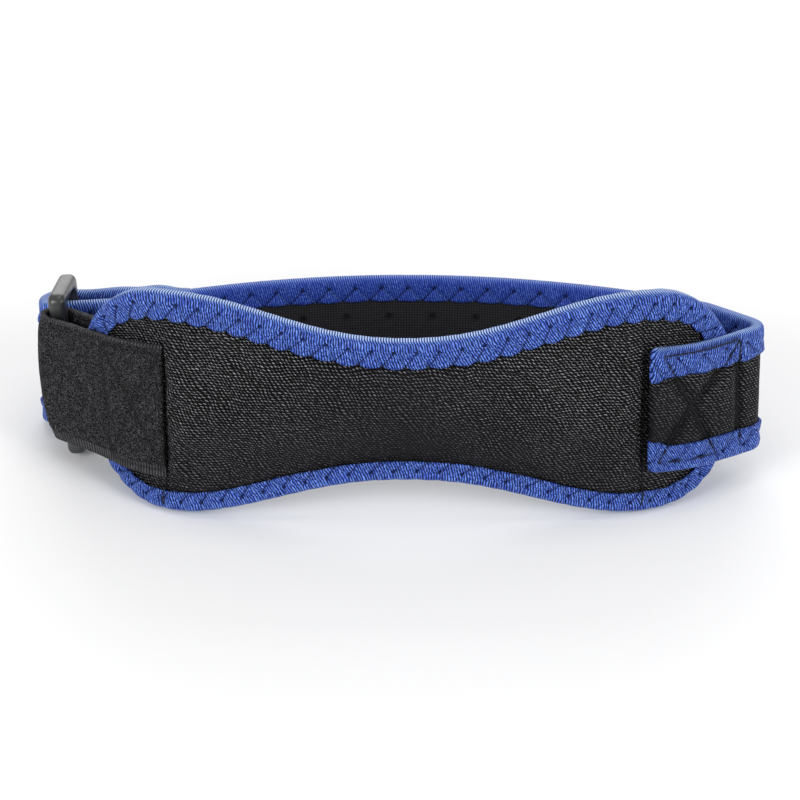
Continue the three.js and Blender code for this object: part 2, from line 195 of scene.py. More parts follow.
@dataclass(frozen=True)
class StrapSizes:
    """The band, its tapes, the tab and the ring."""

    width: float = 38.0
    band_thick: float = 1.8
    band_tape_thick: float = 0.8
    band_leg_top: float = 7.4
    band_leg_bottom: float = 6.8
    band_end: float = 67.9
    tab_thick: float = 1.8
    tab_front: float = 67.6
    tab_back: float = 74.0
    free_lap: float = 12.0
    free_run: float = 24.0
    free_angle: float = 110.0
    ring_bar: float = 4.4
    ring_rail: float = 4.1
    ring_thick: float = 5.0
    ring_corner: float = 2.8
    ring_heel_corner: float = 7.2
    ring_slot_corner: float = 1.8
    ring_edge: float = 1.5
    ring_play: float = 1.05
    ring_slot_room: float = 1.5
    ring_rise: float = 0.7
    ring_reach: float = 7.8
    ring_yaw: float = 6.5
    ring_lean: float = 5.5
    lean_core: float = 16.0
    lean_fade: float = 34.0
    tab_slack: float = 0.6
    band_slack: float = 1.6
    band_lean: float = 0.2
    loop_depth: float = 59.0
    back_radius: float = 172.0
    bend_reach: float = 102.5
    bend_radius: float = 4.6
    bend_back: float = 0.37

    @property
    def band_half(self) -> float:
        """Half of the band's thickness with its tapes on."""
        return self.band_thick / 2 + PANEL.fit + self.band_tape_thick


STRAP = StrapSizes()


class MiddleLine:
    """A line seen from above that a strip of cloth follows, sampled by its length."""

    def __init__(self, points: Sequence[Vector], smooth: int = 6, step: float = 0.5) -> None:
        """Resample a polyline evenly and ease its corners.

        Args:
            points: the line's points, in millimetres.
            smooth: how many times neighbours are averaged.
            step: the distance between samples.
        """
        lengths = [0.0]
        for a, b in zip(points, points[1:]):
            lengths.append(lengths[-1] + (b - a).length)
        count = max(2, round(lengths[-1] / step))
        samples: list[Vector] = []
        leg = 0
        for i in range(count + 1):
            wanted = lengths[-1] * i / count
            while leg < len(points) - 2 and lengths[leg + 1] < wanted:
                leg += 1
            share = (wanted - lengths[leg]) / max(1e-9, lengths[leg + 1] - lengths[leg])
            samples.append(points[leg].lerp(points[leg + 1], share))
        for _ in range(smooth):
            eased = [(a + b * 2 + c) / 4 for a, b, c in zip(samples, samples[1:], samples[2:])]
            samples = [samples[0], *eased, samples[-1]]
        self.samples = samples
        self.length = lengths[-1]

    def at(self, s: float) -> tuple[Vector, Vector]:
        """The point and the unit normal to the left at a distance s along the line."""
        count = len(self.samples) - 1
        t = min(max(s / self.length, 0.0), 1.0) * count
        i = min(int(t), count - 1)
        point = self.samples[i].lerp(self.samples[i + 1], t - i)
        before, after = self.samples[max(0, i - 1)], self.samples[min(count, i + 2)]
        along = (after - before).normalized()
        return point, Vector((-along.y, along.x))


def tangent_point(start: Vector, centre: Vector, radius: float, arriving: bool) -> Vector:
    """Where the line from start touches a circle.

    Args:
        start: the line's other end.
        centre: the circle's centre.
        radius: its radius.
        arriving: whether a clockwise run comes onto the circle here, or leaves it.

    Returns:
        The point of the circle.
    """
    gap = centre - start
    turn = math.acos(min(1.0, radius / gap.length)) * (-1 if arriving else 1)
    angle = math.atan2(-gap.y, -gap.x) + turn
    return centre + Vector((math.cos(angle), math.sin(angle))) * radius


def arc(centre: Vector, start: Vector, end: Vector, clockwise: bool) -> list[Vector]:
    """Points of an arc between two points of a circle, every 5 degrees or closer."""
    first = math.atan2(start.y - centre.y, start.x - centre.x)
    sweep = math.atan2(end.y - centre.y, end.x - centre.x) - first
    sweep = -((-sweep) % FULL_TURN) if clockwise else sweep % FULL_TURN
    steps = max(2, math.ceil(abs(sweep) / math.radians(5)))
    radius = (start - centre).length
    angles = (first + sweep * i / steps for i in range(steps + 1))
    return [centre + Vector((math.cos(a), math.sin(a))) * radius for a in angles]


def spread(a: float, b: float, step: float) -> list[float]:
    """Values from a to b, both included, no further apart than step."""
    count = max(1, math.ceil(abs(b - a) / step))
    return [lerp(a, b, i / count) for i in range(count + 1)]


def bezier(a: Vector, b: Vector, c: Vector, d: Vector, count: int) -> list[Vector]:
    """The inner points of a Bezier curve cut into count stretches."""
    points = []
    for i in range(1, count):
        t = i / count
        points.append(a * (1 - t) ** 3 + b * 3 * t * (1 - t) ** 2 + c * 3 * t * t * (1 - t) + d * t**3)
    return points


class StrapRun:
    """The ring's place and the middle lines of the tab and the band."""

    def __init__(self, sizes: StrapSizes = STRAP) -> None:
        """Work out where the bars stand and how the strips run round them."""
        self.sizes = sizes
        corner = math.hypot(sizes.ring_thick / 2 - sizes.ring_edge, sizes.ring_bar / 2 - sizes.ring_edge)
        bar = corner + sizes.ring_edge
        self.tab_wrap = bar + PANEL.fit + sizes.tab_thick / 2 + sizes.tab_slack
        self.band_wrap = bar + PANEL.fit + sizes.band_half + sizes.band_slack
        between = sizes.tab_thick / 2 + sizes.ring_slot_room + sizes.band_half
        self.spacing = self.tab_wrap + between + self.band_wrap
        yaw = math.radians(sizes.ring_yaw)
        tip, heading, _ = PANEL.plan(-PANEL.length / 2)
        self.front_bar = tip + heading * sizes.ring_reach
        self.back_bar = self.front_bar + Vector((math.sin(yaw), math.cos(yaw))) * self.spacing
        self.ring_centre = self.front_bar.lerp(self.back_bar, 0.5)
        reaches = spread(PANEL.lobe_reach, PANEL.length / 2, 0.5)
        inside = [r for r in reaches if PANEL.half_height(r, PANEL.tape_leg_top) > sizes.width / 2]
        self.tape_reach = inside[-1] - 3 * PANEL.fit
        self.tab = MiddleLine(self._tab_points())
        self.band = MiddleLine(self._band_points(), smooth=12)

    def lean(self, x: float, y: float, z: float, share: float = 1.0) -> Vector:
        """A finished point, leaning outwards with the ring as far as it is near it."""
        away = math.hypot(x - self.ring_centre.x, y - self.ring_centre.y)
        core, fade = self.sizes.lean_core, self.sizes.lean_fade
        near = 1 - smoothstep(away, core, core + fade)
        return STANCE.place(x - z * math.tan(math.radians(self.sizes.ring_lean)) * share * near, y, z)

    def layer_off(self, along: float, sewn_end: float, half_thick: float) -> float:
        """How far a layer sewn on the panel stands off its middle surface."""
        low = PANEL.thick / 2 + PANEL.fit + half_thick
        high = PANEL.half + PANEL.fit + half_thick
        return lerp(low, high, smoothstep(abs(along), sewn_end, self.tape_reach))

    def _tab_points(self) -> list[Vector]:
        """The tab's line: along the panel's front, round the front bar and back behind the panel."""
        sizes, half, tip = self.sizes, self.sizes.tab_thick / 2, PANEL.length / 2
        outer, inner = spread(sizes.tab_front, tip, 1), spread(tip, sizes.tab_back, 1)
        front = [PANEL.off(-r, self.layer_off(r, sizes.tab_front, half)) for r in outer]
        back = [PANEL.off(-r, -self.layer_off(r, sizes.tab_back, half)) for r in inner]
        on = tangent_point(front[-1], self.front_bar, self.tab_wrap, True)
        off = tangent_point(back[0], self.front_bar, self.tab_wrap, False)
        return [*front, *arc(self.front_bar, on, off, True), *back]

    def _back(self, x: float, out: float = 0.0) -> Vector:
        """A point of the band's back run, or one that stands out from it."""
        slope = -x / self.sizes.back_radius
        normal = Vector((-slope, 1.0)).normalized()
        return Vector((x, self.sizes.loop_depth - x * x / (2 * self.sizes.back_radius))) + normal * out

    def _band_points(self) -> list[Vector]:
        """The band's line: from the panel round the back, through the ring and onto itself."""
        sizes, half = self.sizes, self.sizes.band_half
        reaches = spread(sizes.band_end, PANEL.length / 2 - 2, 1)
        sewn = [PANEL.off(r, self.layer_off(r, sizes.band_end, half)) for r in reaches]
        bend = Vector((sizes.bend_reach - half - sizes.bend_radius, sizes.loop_depth * sizes.bend_back))
        right = self._back(bend.x - 2 * sizes.bend_radius)
        into_bend = tangent_point(sewn[-1], bend, sizes.bend_radius, False)
        out_of_bend = tangent_point(right, bend, sizes.bend_radius, True)
        left = self.back_bar.x + 2.6 * self.band_wrap
        back = [self._back(x) for x in spread(right.x, left, 2)]
        into_ring = tangent_point(back[-1], self.back_bar, self.band_wrap, True)
        leave = math.radians(sizes.free_angle)
        out_of_ring = self.back_bar + Vector((math.cos(leave), math.sin(leave))) * self.band_wrap
        layer = 2 * half + PANEL.fit
        down = self.back_bar.x + sizes.free_run
        flat = [self._back(x, layer) for x in spread(down, down + sizes.free_lap, 2)]
        heading = Vector((math.sin(leave), -math.cos(leave)))
        arrival = (flat[1] - flat[0]).normalized()
        a, b = out_of_ring, out_of_ring + heading * (sizes.free_run / 4)
        c, d = flat[0] - arrival * (sizes.free_run / 3), flat[0]
        return [
            *sewn,
            *arc(bend, into_bend, out_of_bend, False),
            *back,
            *arc(self.back_bar, into_ring, out_of_ring, True),
            *bezier(a, b, c, d, 16),
            *flat,
        ]


RUN = StrapRun()


class Socket:
    """A shader socket whose Python arithmetic adds Math nodes."""

    def __init__(self, finish: "NodeTree", output: bpy.types.NodeSocket) -> None:
        """Wrap a node's output."""
        self.finish = finish
        self.output = output

    def _math(self, operation: str, *values: "Value") -> "Socket":
        """Add one Math node."""
        names = {i: value for i, value in enumerate(values)}
        return self.finish.node("ShaderNodeMath", {"operation": operation}, names)

    def __add__(self, other: "Value") -> "Socket":
        """Add."""
        return self._math("ADD", self, other)

    __radd__ = __add__

    def __mul__(self, other: "Value") -> "Socket":
        """Multiply."""
        return self._math("MULTIPLY", self, other)

    __rmul__ = __mul__

    def __sub__(self, other: "Value") -> "Socket":
        """Subtract."""
        return self._math("SUBTRACT", self, other)

    def __rsub__(self, other: "Value") -> "Socket":
        """Subtract from a number."""
        return self._math("SUBTRACT", other, self)

    def __truediv__(self, other: "Value") -> "Socket":
        """Divide."""
        return self._math("DIVIDE", self, other)

    def __pow__(self, other: "Value") -> "Socket":
        """Raise to a power."""
        return self._math("POWER", self, other)

    def __abs__(self) -> "Socket":
        """Absolute value."""
        return self._math("ABSOLUTE", self)

    def wave(self) -> "Socket":
        """A wave from 0 to 1 of the value, taken as an angle."""
        return self._math("SINE", self) * 0.5 + 0.5

    def ridge(self) -> "Socket":
        """A thin ridge where the value, from 0 to 1, crosses its middle."""
        return 1.0 - abs(self * 2.0 - 1.0)

    def fraction(self) -> "Socket":
        """The part after the decimal point."""
        return self._math("FRACT", self)

    def floor(self) -> "Socket":
        """The whole number below."""
        return self._math("FLOOR", self)

    def least(self, other: "Value") -> "Socket":
        """The lesser of two values."""
        return self._math("MINIMUM", self, other)

    def most(self, other: "Value") -> "Socket":
        """The greater of two values."""
        return self._math("MAXIMUM", self, other)

    def ease(self, low: float, high: float) -> "Socket":
        """Ease from 0 at low to 1 at high."""
        limits = {"Value": self, "From Min": low, "From Max": high}
        return self.finish.node("ShaderNodeMapRange", {"interpolation_type": "SMOOTHSTEP"}, limits)


Value = Union[Socket, float]


class NodeTree:
    """A material's nodes, added through one method."""

    def __init__(self, name: str) -> None:
        """Start an empty material."""
        self.material = bpy.data.materials.new(name)
        self.material.use_nodes = True
        self.tree = self.material.node_tree
        self.tree.nodes.clear()

    def node(
        self,
        kind: str,
        settings: Optional[dict] = None,
        inputs: Optional[dict] = None,
        output: Union[int, str] = 0,
    ) -> Socket:
        """Add a node.

        Args:
            kind: the node's type.
            settings: attributes, which are set first.
            inputs: socket names or numbers, with a value or a Socket each.
            output: the wanted output's name or number.

        Returns:
            The output, wrapped.
        """
        made = self.tree.nodes.new(kind)
        for key, value in (settings or {}).items():
            setattr(made, key, value)
        for key, value in (inputs or {}).items():
            if isinstance(value, Socket):
                self.tree.links.new(value.output, made.inputs[key])
            else:
                made.inputs[key].default_value = value
        return Socket(self, made.outputs[output])

    def cloth_uv(self) -> tuple[Socket, Socket]:
        """The piece's own cloth coordinates, in millimetres along and across it."""
        uv = self.node("ShaderNodeUVMap", {"uv_map": "cloth"})
        split = self.node("ShaderNodeSeparateXYZ", inputs={0: uv})
        across = Socket(self, split.output.node.outputs[1])
        return split * PER_METRE, across * PER_METRE

    def sunk(self) -> Socket:
        """How deep a stitch has drawn the cloth in, from 0 to 1."""
        return self.node("ShaderNodeAttribute", {"attribute_name": "sunk"}, output="Fac")

    def vector(self, x: Value, y: Value, z: Value = 0.0) -> Socket:
        """A vector of three values."""
        return self.node("ShaderNodeCombineXYZ", inputs={0: x, 1: y, 2: z})

    def speckle(self, at: Socket, scale: float, detail: float = 2.0) -> Socket:
        """Soft noise, from 0 to 1."""
        return self.node("ShaderNodeTexNoise", inputs={"Vector": at, "Scale": scale, "Detail": detail})

    def mix(self, share: Value, a: Union[Socket, Colour], b: Union[Socket, Colour]) -> Socket:
        """A colour between a and b."""
        first, second, result = 6, 7, 2
        made = {"Factor": share}
        for socket, colour in ((first, a), (second, b)):
            made[socket] = colour if isinstance(colour, Socket) else (*colour, 1.0)
        return self.node("ShaderNodeMix", {"data_type": "RGBA"}, made, output=result)

    def surface(
        self,
        colour: Union[Socket, Colour],
        roughness: Value,
        height: Optional[Socket] = None,
        relief: float = 0.3,
        sheen: float = 0.0,
        sheen_tint: Colour = (1.0, 1.0, 1.0),
        specular: float = 0.5,
    ) -> bpy.types.Material:
        """Finish the material.

        Args:
            colour: base colour.
            roughness: roughness over the surface.
            height: a relief from 0 to 1, or none.
            relief: the relief's depth in millimetres.
            sheen: how much fuzz catches the light.
            sheen_tint: the fuzz's colour.
            specular: the specular level.

        Returns:
            The finished material.
        """
        inputs = {
            "Base Color": colour if isinstance(colour, Socket) else (*colour, 1.0),
            "Roughness": roughness,
            "Sheen Weight": sheen,
            "Sheen Roughness": 0.45,
            "Sheen Tint": (*sheen_tint, 1.0),
            "Specular IOR Level": specular,
        }
        if height is not None:
            bump = {"Height": height, "Distance": relief * MM, "Strength": 1.0}
            inputs["Normal"] = self.node("ShaderNodeBump", inputs=bump)
        shader = self.node("ShaderNodeBsdfPrincipled", inputs=inputs)
        end = self.tree.nodes.new("ShaderNodeOutputMaterial")
        self.tree.links.new(shader.output, end.inputs["Surface"])
        return self.material


Calm = tuple[float, float, float]
NOWHERE_CALM: Calm = (9000.0, 9500.0, 0.0)


@dataclass(frozen=True)
class RibbedTape:
    """Blue elastic tape: fine ribs across it with painted highlights on their crests and painted shade in
    their hollows, a paler painted highlight on the fold, and ribs broken up where the zigzag draws it in;
    painted shade marks its needle holes and stitch grooves.

    Calm is a stretch of the tape, from start to end, where its ribs and their painted light fade by a share.
    NOWHERE_CALM lies past the end of any tape.
    """

    name: str
    stitch: float
    hole: float
    leg: float
    slant: float = 0.0
    pitch: float = 0.84
    roll: float = 0.95
    roll_back: float = 0.3
    calm: Calm = NOWHERE_CALM
    # Painted highlight on the rib crests and painted shade in the rib hollows.
    crest_highlight: Colour = (0.225, 0.405, 1.0)
    face: Colour = (0.013, 0.050, 0.47)
    hollow_shade: Colour = (0.0012, 0.0045, 0.055)
    # Paler painted highlight on the ribs where the tape turns over the fold.
    fold_highlight: Colour = (0.50, 0.69, 1.0)
    # Painted shade in the needle holes, along the zigzag's grooves and where the box stitching presses the
    # tape in.
    stitch_shade: Colour = (0.002, 0.005, 0.04)

    def make(self) -> bpy.types.Material:
        """Build the material."""
        n = NodeTree(self.name)
        along, signed = n.cloth_uv()
        across = abs(signed)
        at = n.vector(along, signed)
        below = across.ease(0.6, 2.0)
        start, end, depth = self.calm
        still = along.ease(start, start + 35.0) * (1.0 - along.ease(end, end + 20.0))
        lively = 1.0 - still * depth
        drift = (n.speckle(at, 0.85, 3.0) - 0.5) * (below * 1.25 + 0.2)
        turned = (along + across * below * self.slant) / self.pitch + drift
        rib = (turned * FULL_TURN).wave()
        broken = n.speckle(n.vector(along, signed * 1.7), 1.0, 3.0)
        patch = n.speckle(n.vector(along * 0.12, signed * 0.2), 1.0, 2.0)
        bright = (broken.ease(0.36, 0.62) * 0.85 + 0.15) * below + (1.0 - below)
        # Painted highlight on the rib crests over painted shade in their hollows, both faded in the calm
        # stretch.
        crest_highlight = (rib ** 1.6) * bright * (patch * 1.1 + 0.35).least(1.0)
        over = 1.0 - across.ease(0.35, 1.5)
        colour = n.mix(rib.ease(0.18, 0.85) * lively + (1.0 - lively) * 0.75, self.hollow_shade, self.face)
        colour = n.mix(crest_highlight * lively * 0.92, colour, self.crest_highlight)
        # Painted highlight on the ribs over the fold, weaker in the calm stretch.
        roll = (self.roll - self.roll_back) * (1.0 - still) + self.roll_back
        colour = n.mix((rib ** 2.0) * over * roll, colour, self.fold_highlight)
        # Painted shade: needle holes, the zigzag's grooves and the places that the box stitching presses in
        # are darkened.
        gap = ((along / self.stitch + 0.5).fraction() - 0.5) * self.stitch
        down = across - self.hole
        spot = 1.0 - (gap * gap + down * down * 0.7).ease(0.03, 0.34)
        line = abs(gap) - down * (0.5 * self.stitch / (self.leg - self.hole))
        seam = (1.0 - abs(line).ease(0.05, 0.34)) * down.ease(0.0, 0.3)
        mark = (spot * 0.95).most(seam * 0.62).most(n.sunk() * 0.55)
        colour = n.mix(mark, colour, self.stitch_shade)
        height = rib * 0.6 + broken * below * 0.25 - mark * 0.5
        blue = (0.3, 0.45, 1.0)
        return n.surface(colour, 0.5, height, relief=0.34, sheen=0.05, sheen_tint=blue, specular=0.18)


@dataclass(frozen=True)
class BlackKnit:
    """Black knit: rows of short slanted stitches with painted highlights, over a black ground."""

    name: str = "black_knit"
    ground: Colour = (0.0015, 0.0015, 0.0019)
    # A grey painted sheen for the dark ground where the stitch highlights are weak.
    sheen_ground: Colour = (0.0105, 0.0105, 0.0125)
    # The colour of the painted highlights on the stitches.
    yarn_and_glint: Colour = (0.35, 0.35, 0.37)
    row: float = 0.81
    stitch: float = 1.14
    slant: float = -0.6

    def make(self) -> bpy.types.Material:
        """Build the material."""
        n = NodeTree(self.name)
        along, across = n.cloth_uv()
        at = n.vector(along, across)
        drift = n.speckle(at, 0.14, 2.0) - 0.5
        sway = n.speckle(n.vector(across, along), 0.10, 2.0) - 0.5
        shake = n.speckle(at, 1.3, 2.0) - 0.5
        rows = across / self.row + drift * 2.2 + shake * 0.35
        odd = (rows.floor() * 0.5).fraction()
        cell = ((along + sway * 4.0) / self.stitch + odd + shake * 0.30).fraction() - 0.5
        tall = rows.fraction() - 0.5
        tilt = tall - cell * self.slant
        broad = n.speckle(at, 0.05, 2.0)
        body = 1.0 - (tilt * tilt * 17.0 + cell * cell * (broad * 6.0 + 0.6))
        stitch = body.ease(0.0, 0.8)
        lit = n.speckle(at, 1.0, 3.0).ease(0.36, 0.64)
        sunk = n.sunk()
        # Painted light: the stitch highlights grow stronger with the distance from the cloth's zero along it
        # and with the height across it, and the black ground takes a grey painted sheen where they are weak.
        glint_strength = (abs(along) * 0.0105 + across * 0.019 + 0.33 + broad * 0.1).least(1.0).most(0.12)
        ground = n.mix(glint_strength, self.sheen_ground, self.ground)
        glint = stitch * (lit * 0.68 + 0.16) * glint_strength
        # Painted shade in the furrows that the box stitches draw in.
        colour = n.mix(glint * (1.0 - sunk * 0.8), ground, self.yarn_and_glint)
        return n.surface(colour, 0.60, stitch, relief=0.36, specular=0.06)


@dataclass(frozen=True)
class Lining:
    """Smooth black lining cloth on the inside, with painted shade in its pin holes."""

    name: str = "lining"
    ground: Colour = (0.009, 0.009, 0.0105)
    yarn_and_glint: Colour = (0.052, 0.052, 0.056)
    mesh: float = 0.8

    def make(self) -> bpy.types.Material:
        """Build the material."""
        n = NodeTree(self.name)
        along, across = n.cloth_uv()
        warp = (along * (FULL_TURN / self.mesh)).wave()
        weft = (across * (FULL_TURN / self.mesh)).wave()
        mottle = n.speckle(n.vector(along * 0.5, across * 0.9), 1.0, 3.0)
        weave = warp * weft * 0.7 + mottle * 0.3
        # Painted shade in the pin holes.
        colour = n.mix(weave * (1.0 - n.sunk() * 0.8), self.ground, self.yarn_and_glint)
        return n.surface(colour, 0.8, weave, relief=0.12, sheen=0.03, specular=0.1)


@dataclass(frozen=True)
class LoopCloth:
    """Brushed loop cloth: dense short fuzz, with ribbed selvedges along its edges."""

    name: str = "loop_cloth"
    ground: Colour = (0.0026, 0.0026, 0.0034)
    fuzz: Colour = (0.205, 0.205, 0.215)
    half_width: float = 19.0
    lower_selvedge: float = 2.8
    upper_selvedge: float = 0.5
    rib: float = 0.95

    def make(self) -> bpy.types.Material:
        """Build the material."""
        n = NodeTree(self.name)
        along, across = n.cloth_uv()
        at = n.vector(along, across)
        curl = n.speckle(at, 1.05, 2.0).ridge()
        hair = n.speckle(n.vector(across + 40.0, along), 1.6, 2.0).ridge()
        grain = n.speckle(at, 3.2, 2.0)
        patch = n.speckle(at, 0.5, 3.0)
        strands = curl.ease(0.86, 1.0).most(hair.ease(0.88, 1.0) * 0.8)
        pile = strands * (grain.ease(0.40, 0.60) * 0.90 + 0.04) * (patch * 1.1 + 0.2)
        soft = 0.4
        low = (across + self.half_width).ease(self.lower_selvedge + soft, self.lower_selvedge - soft)
        high = (self.half_width - across).ease(self.upper_selvedge + soft, self.upper_selvedge - soft)
        edge = low.most(high)
        rib = (along * (FULL_TURN / self.rib) + grain * 2.0).wave()
        height = pile * (1.0 - edge * 0.7) + rib * edge * (patch * 0.5 + 0.1)
        # Painted shade in the furrows that the box stitches draw in.
        colour = n.mix(height * (1.0 - n.sunk() * 0.45), self.ground, self.fuzz)
        return n.surface(colour, 0.85, height, relief=0.30, sheen=0.02, specular=0.05)


@dataclass(frozen=True)
class Thread:
    """Sewing thread: a twist, patchy in tone."""

    name: str
    colour: Colour

    def make(self) -> bpy.types.Material:
        """Build the material."""
        n = NodeTree(self.name)
        at = n.node("ShaderNodeTexCoord", output="Object")
        twist = n.speckle(at, 2600.0, 2.0)
        dark = tuple(0.4 * c for c in self.colour)
        colour = n.mix(twist.ease(0.3, 0.7), dark, self.colour)
        return n.surface(colour, 0.55, twist, relief=0.05, specular=0.3)


@dataclass(frozen=True)
class SatinPlastic:
    """Dark moulded plastic with a satin skin that is a little cloudy."""

    name: str = "satin_plastic"
    colour: Colour = (0.013, 0.0135, 0.0145)

    def make(self) -> bpy.types.Material:
        """Build the material."""
        n = NodeTree(self.name)
        at = n.node("ShaderNodeTexCoord", output="Object")
        cloud = n.speckle(at, 240.0, 3.0)
        grain = n.speckle(at, 2400.0, 2.0)
        pale = tuple(2.2 * c for c in self.colour)
        colour = n.mix(cloud.ease(0.35, 0.75), self.colour, pale)
        return n.surface(colour, cloud * 0.22 + 0.24, grain, relief=0.02, specular=0.8)


class Finishes:
    """The strap's materials, made once each."""

    def __init__(self) -> None:
        """Make the finishes that need no sizes."""
        self.knit = BlackKnit().make()
        self.lining = Lining().make()
        self.loop = LoopCloth().make()
        self.blue_thread = Thread("blue_thread", (0.13, 0.26, 0.75)).make()
        self.dark_thread = Thread("dark_thread", (0.006, 0.016, 0.12)).make()
        self.black_thread = Thread("black_thread", (0.010, 0.010, 0.012)).make()
        self.plastic = SatinPlastic().make()


class Slot(Enum):
    """The record's material slots."""

    KNIT = "knit"
    TAPE = "edge_tape"
    LOOP = "loop_cloth"
    PLASTIC = "plastic"


Place = Callable[[float, float], Vector]


def link_mesh(name: str, bm: bmesh.types.BMesh) -> bpy.types.Object:
    """Turn a bmesh into an object of the scene."""
    mesh = bpy.data.meshes.new(name)
    bm.to_mesh(mesh)
    bm.free()
    made = bpy.data.objects.new(name, mesh)
    bpy.context.scene.collection.objects.link(made)
    return made


def add_piece(name: str, bm: bmesh.types.BMesh, material: bpy.types.Material, slot: Slot) -> bpy.types.Object:
    """Turn a bmesh into a finished piece that rides on the strap."""
    piece = link_mesh(name, bm)
    piece.data.materials.append(material)
    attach(piece, BODY)
    LOG.info("%s: %d faces", name, len(piece.data.polygons))
    return piece


def sheet_mesh(
    along: int,
    across: int,
    place: Place,
    pattern: Callable[[float, float], Flat],
    sunk: Optional[Callable[[float, float], float]] = None,
) -> bmesh.types.BMesh:
    """A grid laid along a strip of cloth, with its meeting edges joined.

    Args:
        along: segments along it.
        across: segments across it.
        place: the finished point for shares from 0 to 1 along and across.
        pattern: the cloth's own coordinates for the same shares, in millimetres.
        sunk: how deep stitches draw it in for the same shares, from 0 to 1.

    Returns:
        The sheet, with its pattern in a UV map named cloth and its stitches in an attribute named sunk.
    """
    bm = bmesh.new()
    bmesh.ops.create_grid(bm, x_segments=along, y_segments=across, size=0.5)
    layer = bm.loops.layers.uv.new("cloth")
    depth = bm.verts.layers.float.new("sunk")
    for face in bm.faces:
        face.smooth = True
        for loop in face.loops:
            u, v = pattern(loop.vert.co.x + 0.5, loop.vert.co.y + 0.5)
            loop[layer].uv = (u * MM, v * MM)
    for vert in bm.verts:
        a, b = vert.co.x + 0.5, vert.co.y + 0.5
        if sunk:
            vert[depth] = sunk(a, b)
        vert.co = place(a, b)
    bmesh.ops.remove_doubles(bm, verts=bm.verts[:], dist=1e-6)
    return bm


def thicken(piece: bpy.types.Object, thick: float) -> None:
    """Give a sheet its thickness in millimetres, under its outer face."""
    wall = piece.modifiers.new("thickness", "SOLIDIFY")
    wall.thickness = thick * MM
    wall.offset = -1.0
    wall.use_rim = True


def add_strand(bm: bmesh.types.BMesh, points: Sequence[Vector], radius: float) -> None:
    """Add a strand of thread, as a closed tube that is thinner at its two ends.

    Args:
        bm: where it goes.
        points: the points that it follows, in metres.
        radius: its radius, in millimetres.
    """
    sides, tip = 5, 0.6
    first = points[0]
    heading = (points[1] - first).normalized()
    turn = Vector((0, 0, 1)).rotation_difference(heading).to_matrix().to_4x4()
    made = bmesh.ops.create_circle(
        bm, cap_ends=True, segments=sides, radius=radius * MM * tip, matrix=Matrix.Translation(first) @ turn
    )
    ring = made["verts"]
    edges = {edge for vert in ring for edge in vert.link_edges}
    last = first
    for i, point in enumerate(points[1:], start=1):
        made = bmesh.ops.extrude_edge_only(bm, edges=list(edges))
        ring = [item for item in made["geom"] if isinstance(item, bmesh.types.BMVert)]
        edges = {item for item in made["geom"] if isinstance(item, bmesh.types.BMEdge)}
        edges = {edge for edge in edges if all(vert in ring for vert in edge.verts)}
        ahead = (points[min(i + 1, len(points) - 1)] - last).normalized()
        spin = heading.rotation_difference(ahead).to_matrix()
        grow = 1 / tip if i == 1 else 1.0
        if i == len(points) - 1:
            grow *= tip
        for vert in ring:
            vert.co = point + spin @ ((vert.co - last) * grow)
        heading, last = ahead, point
    bmesh.ops.contextual_create(bm, geom=list(edges))
    for vert in ring:
        for face in vert.link_faces:
            face.smooth = True


def far_from(lines: Sequence[Sequence[Flat]], u: float, z: float) -> float:
    """The distance from a flat point to the nearest of some lines of stitches."""
    nearest = 99.0
    for line in lines:
        for (ax, ay), (bx, by) in zip(line, line[1:]):
            dx, dy = bx - ax, by - ay
            t = min(1.0, max(0.0, ((u - ax) * dx + (z - ay) * dy) / (dx * dx + dy * dy)))
            nearest = min(nearest, math.hypot(u - ax - dx * t, z - ay - dy * t))
    return nearest


def along_line(line: Sequence[Flat], step: float) -> list[Flat]:
    """Flat points along a line of stitches, no further apart than step."""
    points: list[Flat] = []
    for (ax, ay), (bx, by) in zip(line, line[1:]):
        count = max(1, math.ceil(math.hypot(bx - ax, by - ay) / step))
        points.extend((lerp(ax, bx, i / count), lerp(ay, by, i / count)) for i in range(count))
    return [*points, line[-1]]


def sew(
    bm: bmesh.types.BMesh,
    line: Sequence[Flat],
    place: Callable[[float, float, float], Vector],
    stitch: float = 2.6,
    radius: float = 0.2,
) -> None:
    """Sew a row of stitches along a flat line.

    Args:
        bm: where the strands go.
        line: the row's corners.
        place: the finished point for a flat place and a height over the cloth.
        stitch: the length of a stitch.
        radius: the thread's radius.
    """
    parts = 4
    fine = along_line(line, stitch / parts)
    for start in range(0, len(fine) - parts, parts):
        strand = []
        for i in range(parts + 1):
            u, z = fine[start + i]
            lift = 0.16 * math.sin(math.pi * (i + 0.4) / 4.8) - 0.08
            strand.append(place(u, z, lift))
        add_strand(bm, strand, radius)


@dataclass(frozen=True)
class BoxStitch:
    """The crossed box of stitches that holds an end down, in the cloth's own millimetres, within a reach."""

    reach: float
    top_left: Flat
    top_right: Flat
    low_left: Flat
    low_right: Flat
    cross: Flat
    cross_end: Flat
    shoulder: Flat = (0.0, 0.0)

    @property
    def lines(self) -> list[list[Flat]]:
        """The rows of stitches."""
        return [
            [self.top_left, self.top_right],
            [self.top_left, self.cross, self.cross_end],
            [self.top_right, self.shoulder, self.cross, self.low_left],
            [self.low_left, (self.cross_end[0], self.low_left[1])],
            [self.top_right, self.low_right],
        ]

    def near(self, s: float, z: float, width: float) -> float:
        """How near a flat place is to a row of stitches, from 0 to 1."""
        return hump(far_from(self.lines, s, z), width) if s < self.reach else 0.0

    def sew(
        self,
        name: str,
        place: Callable[[float, float, float], Vector],
        radius: float,
        thread: bpy.types.Material,
        slot: Slot,
    ) -> bpy.types.Object:
        """Sew the box.

        Args:
            name: the new piece's name.
            place: the finished point for a flat place and a height over the cloth.
            radius: the thread's radius.
            thread: its finish.
            slot: the slot of the cloth that it holds; not used.

        Returns:
            The piece.
        """
        bm = bmesh.new()
        for line in self.lines:
            sew(bm, line, place, stitch=2.4, radius=radius)
        return add_piece(name, bm, thread, slot)


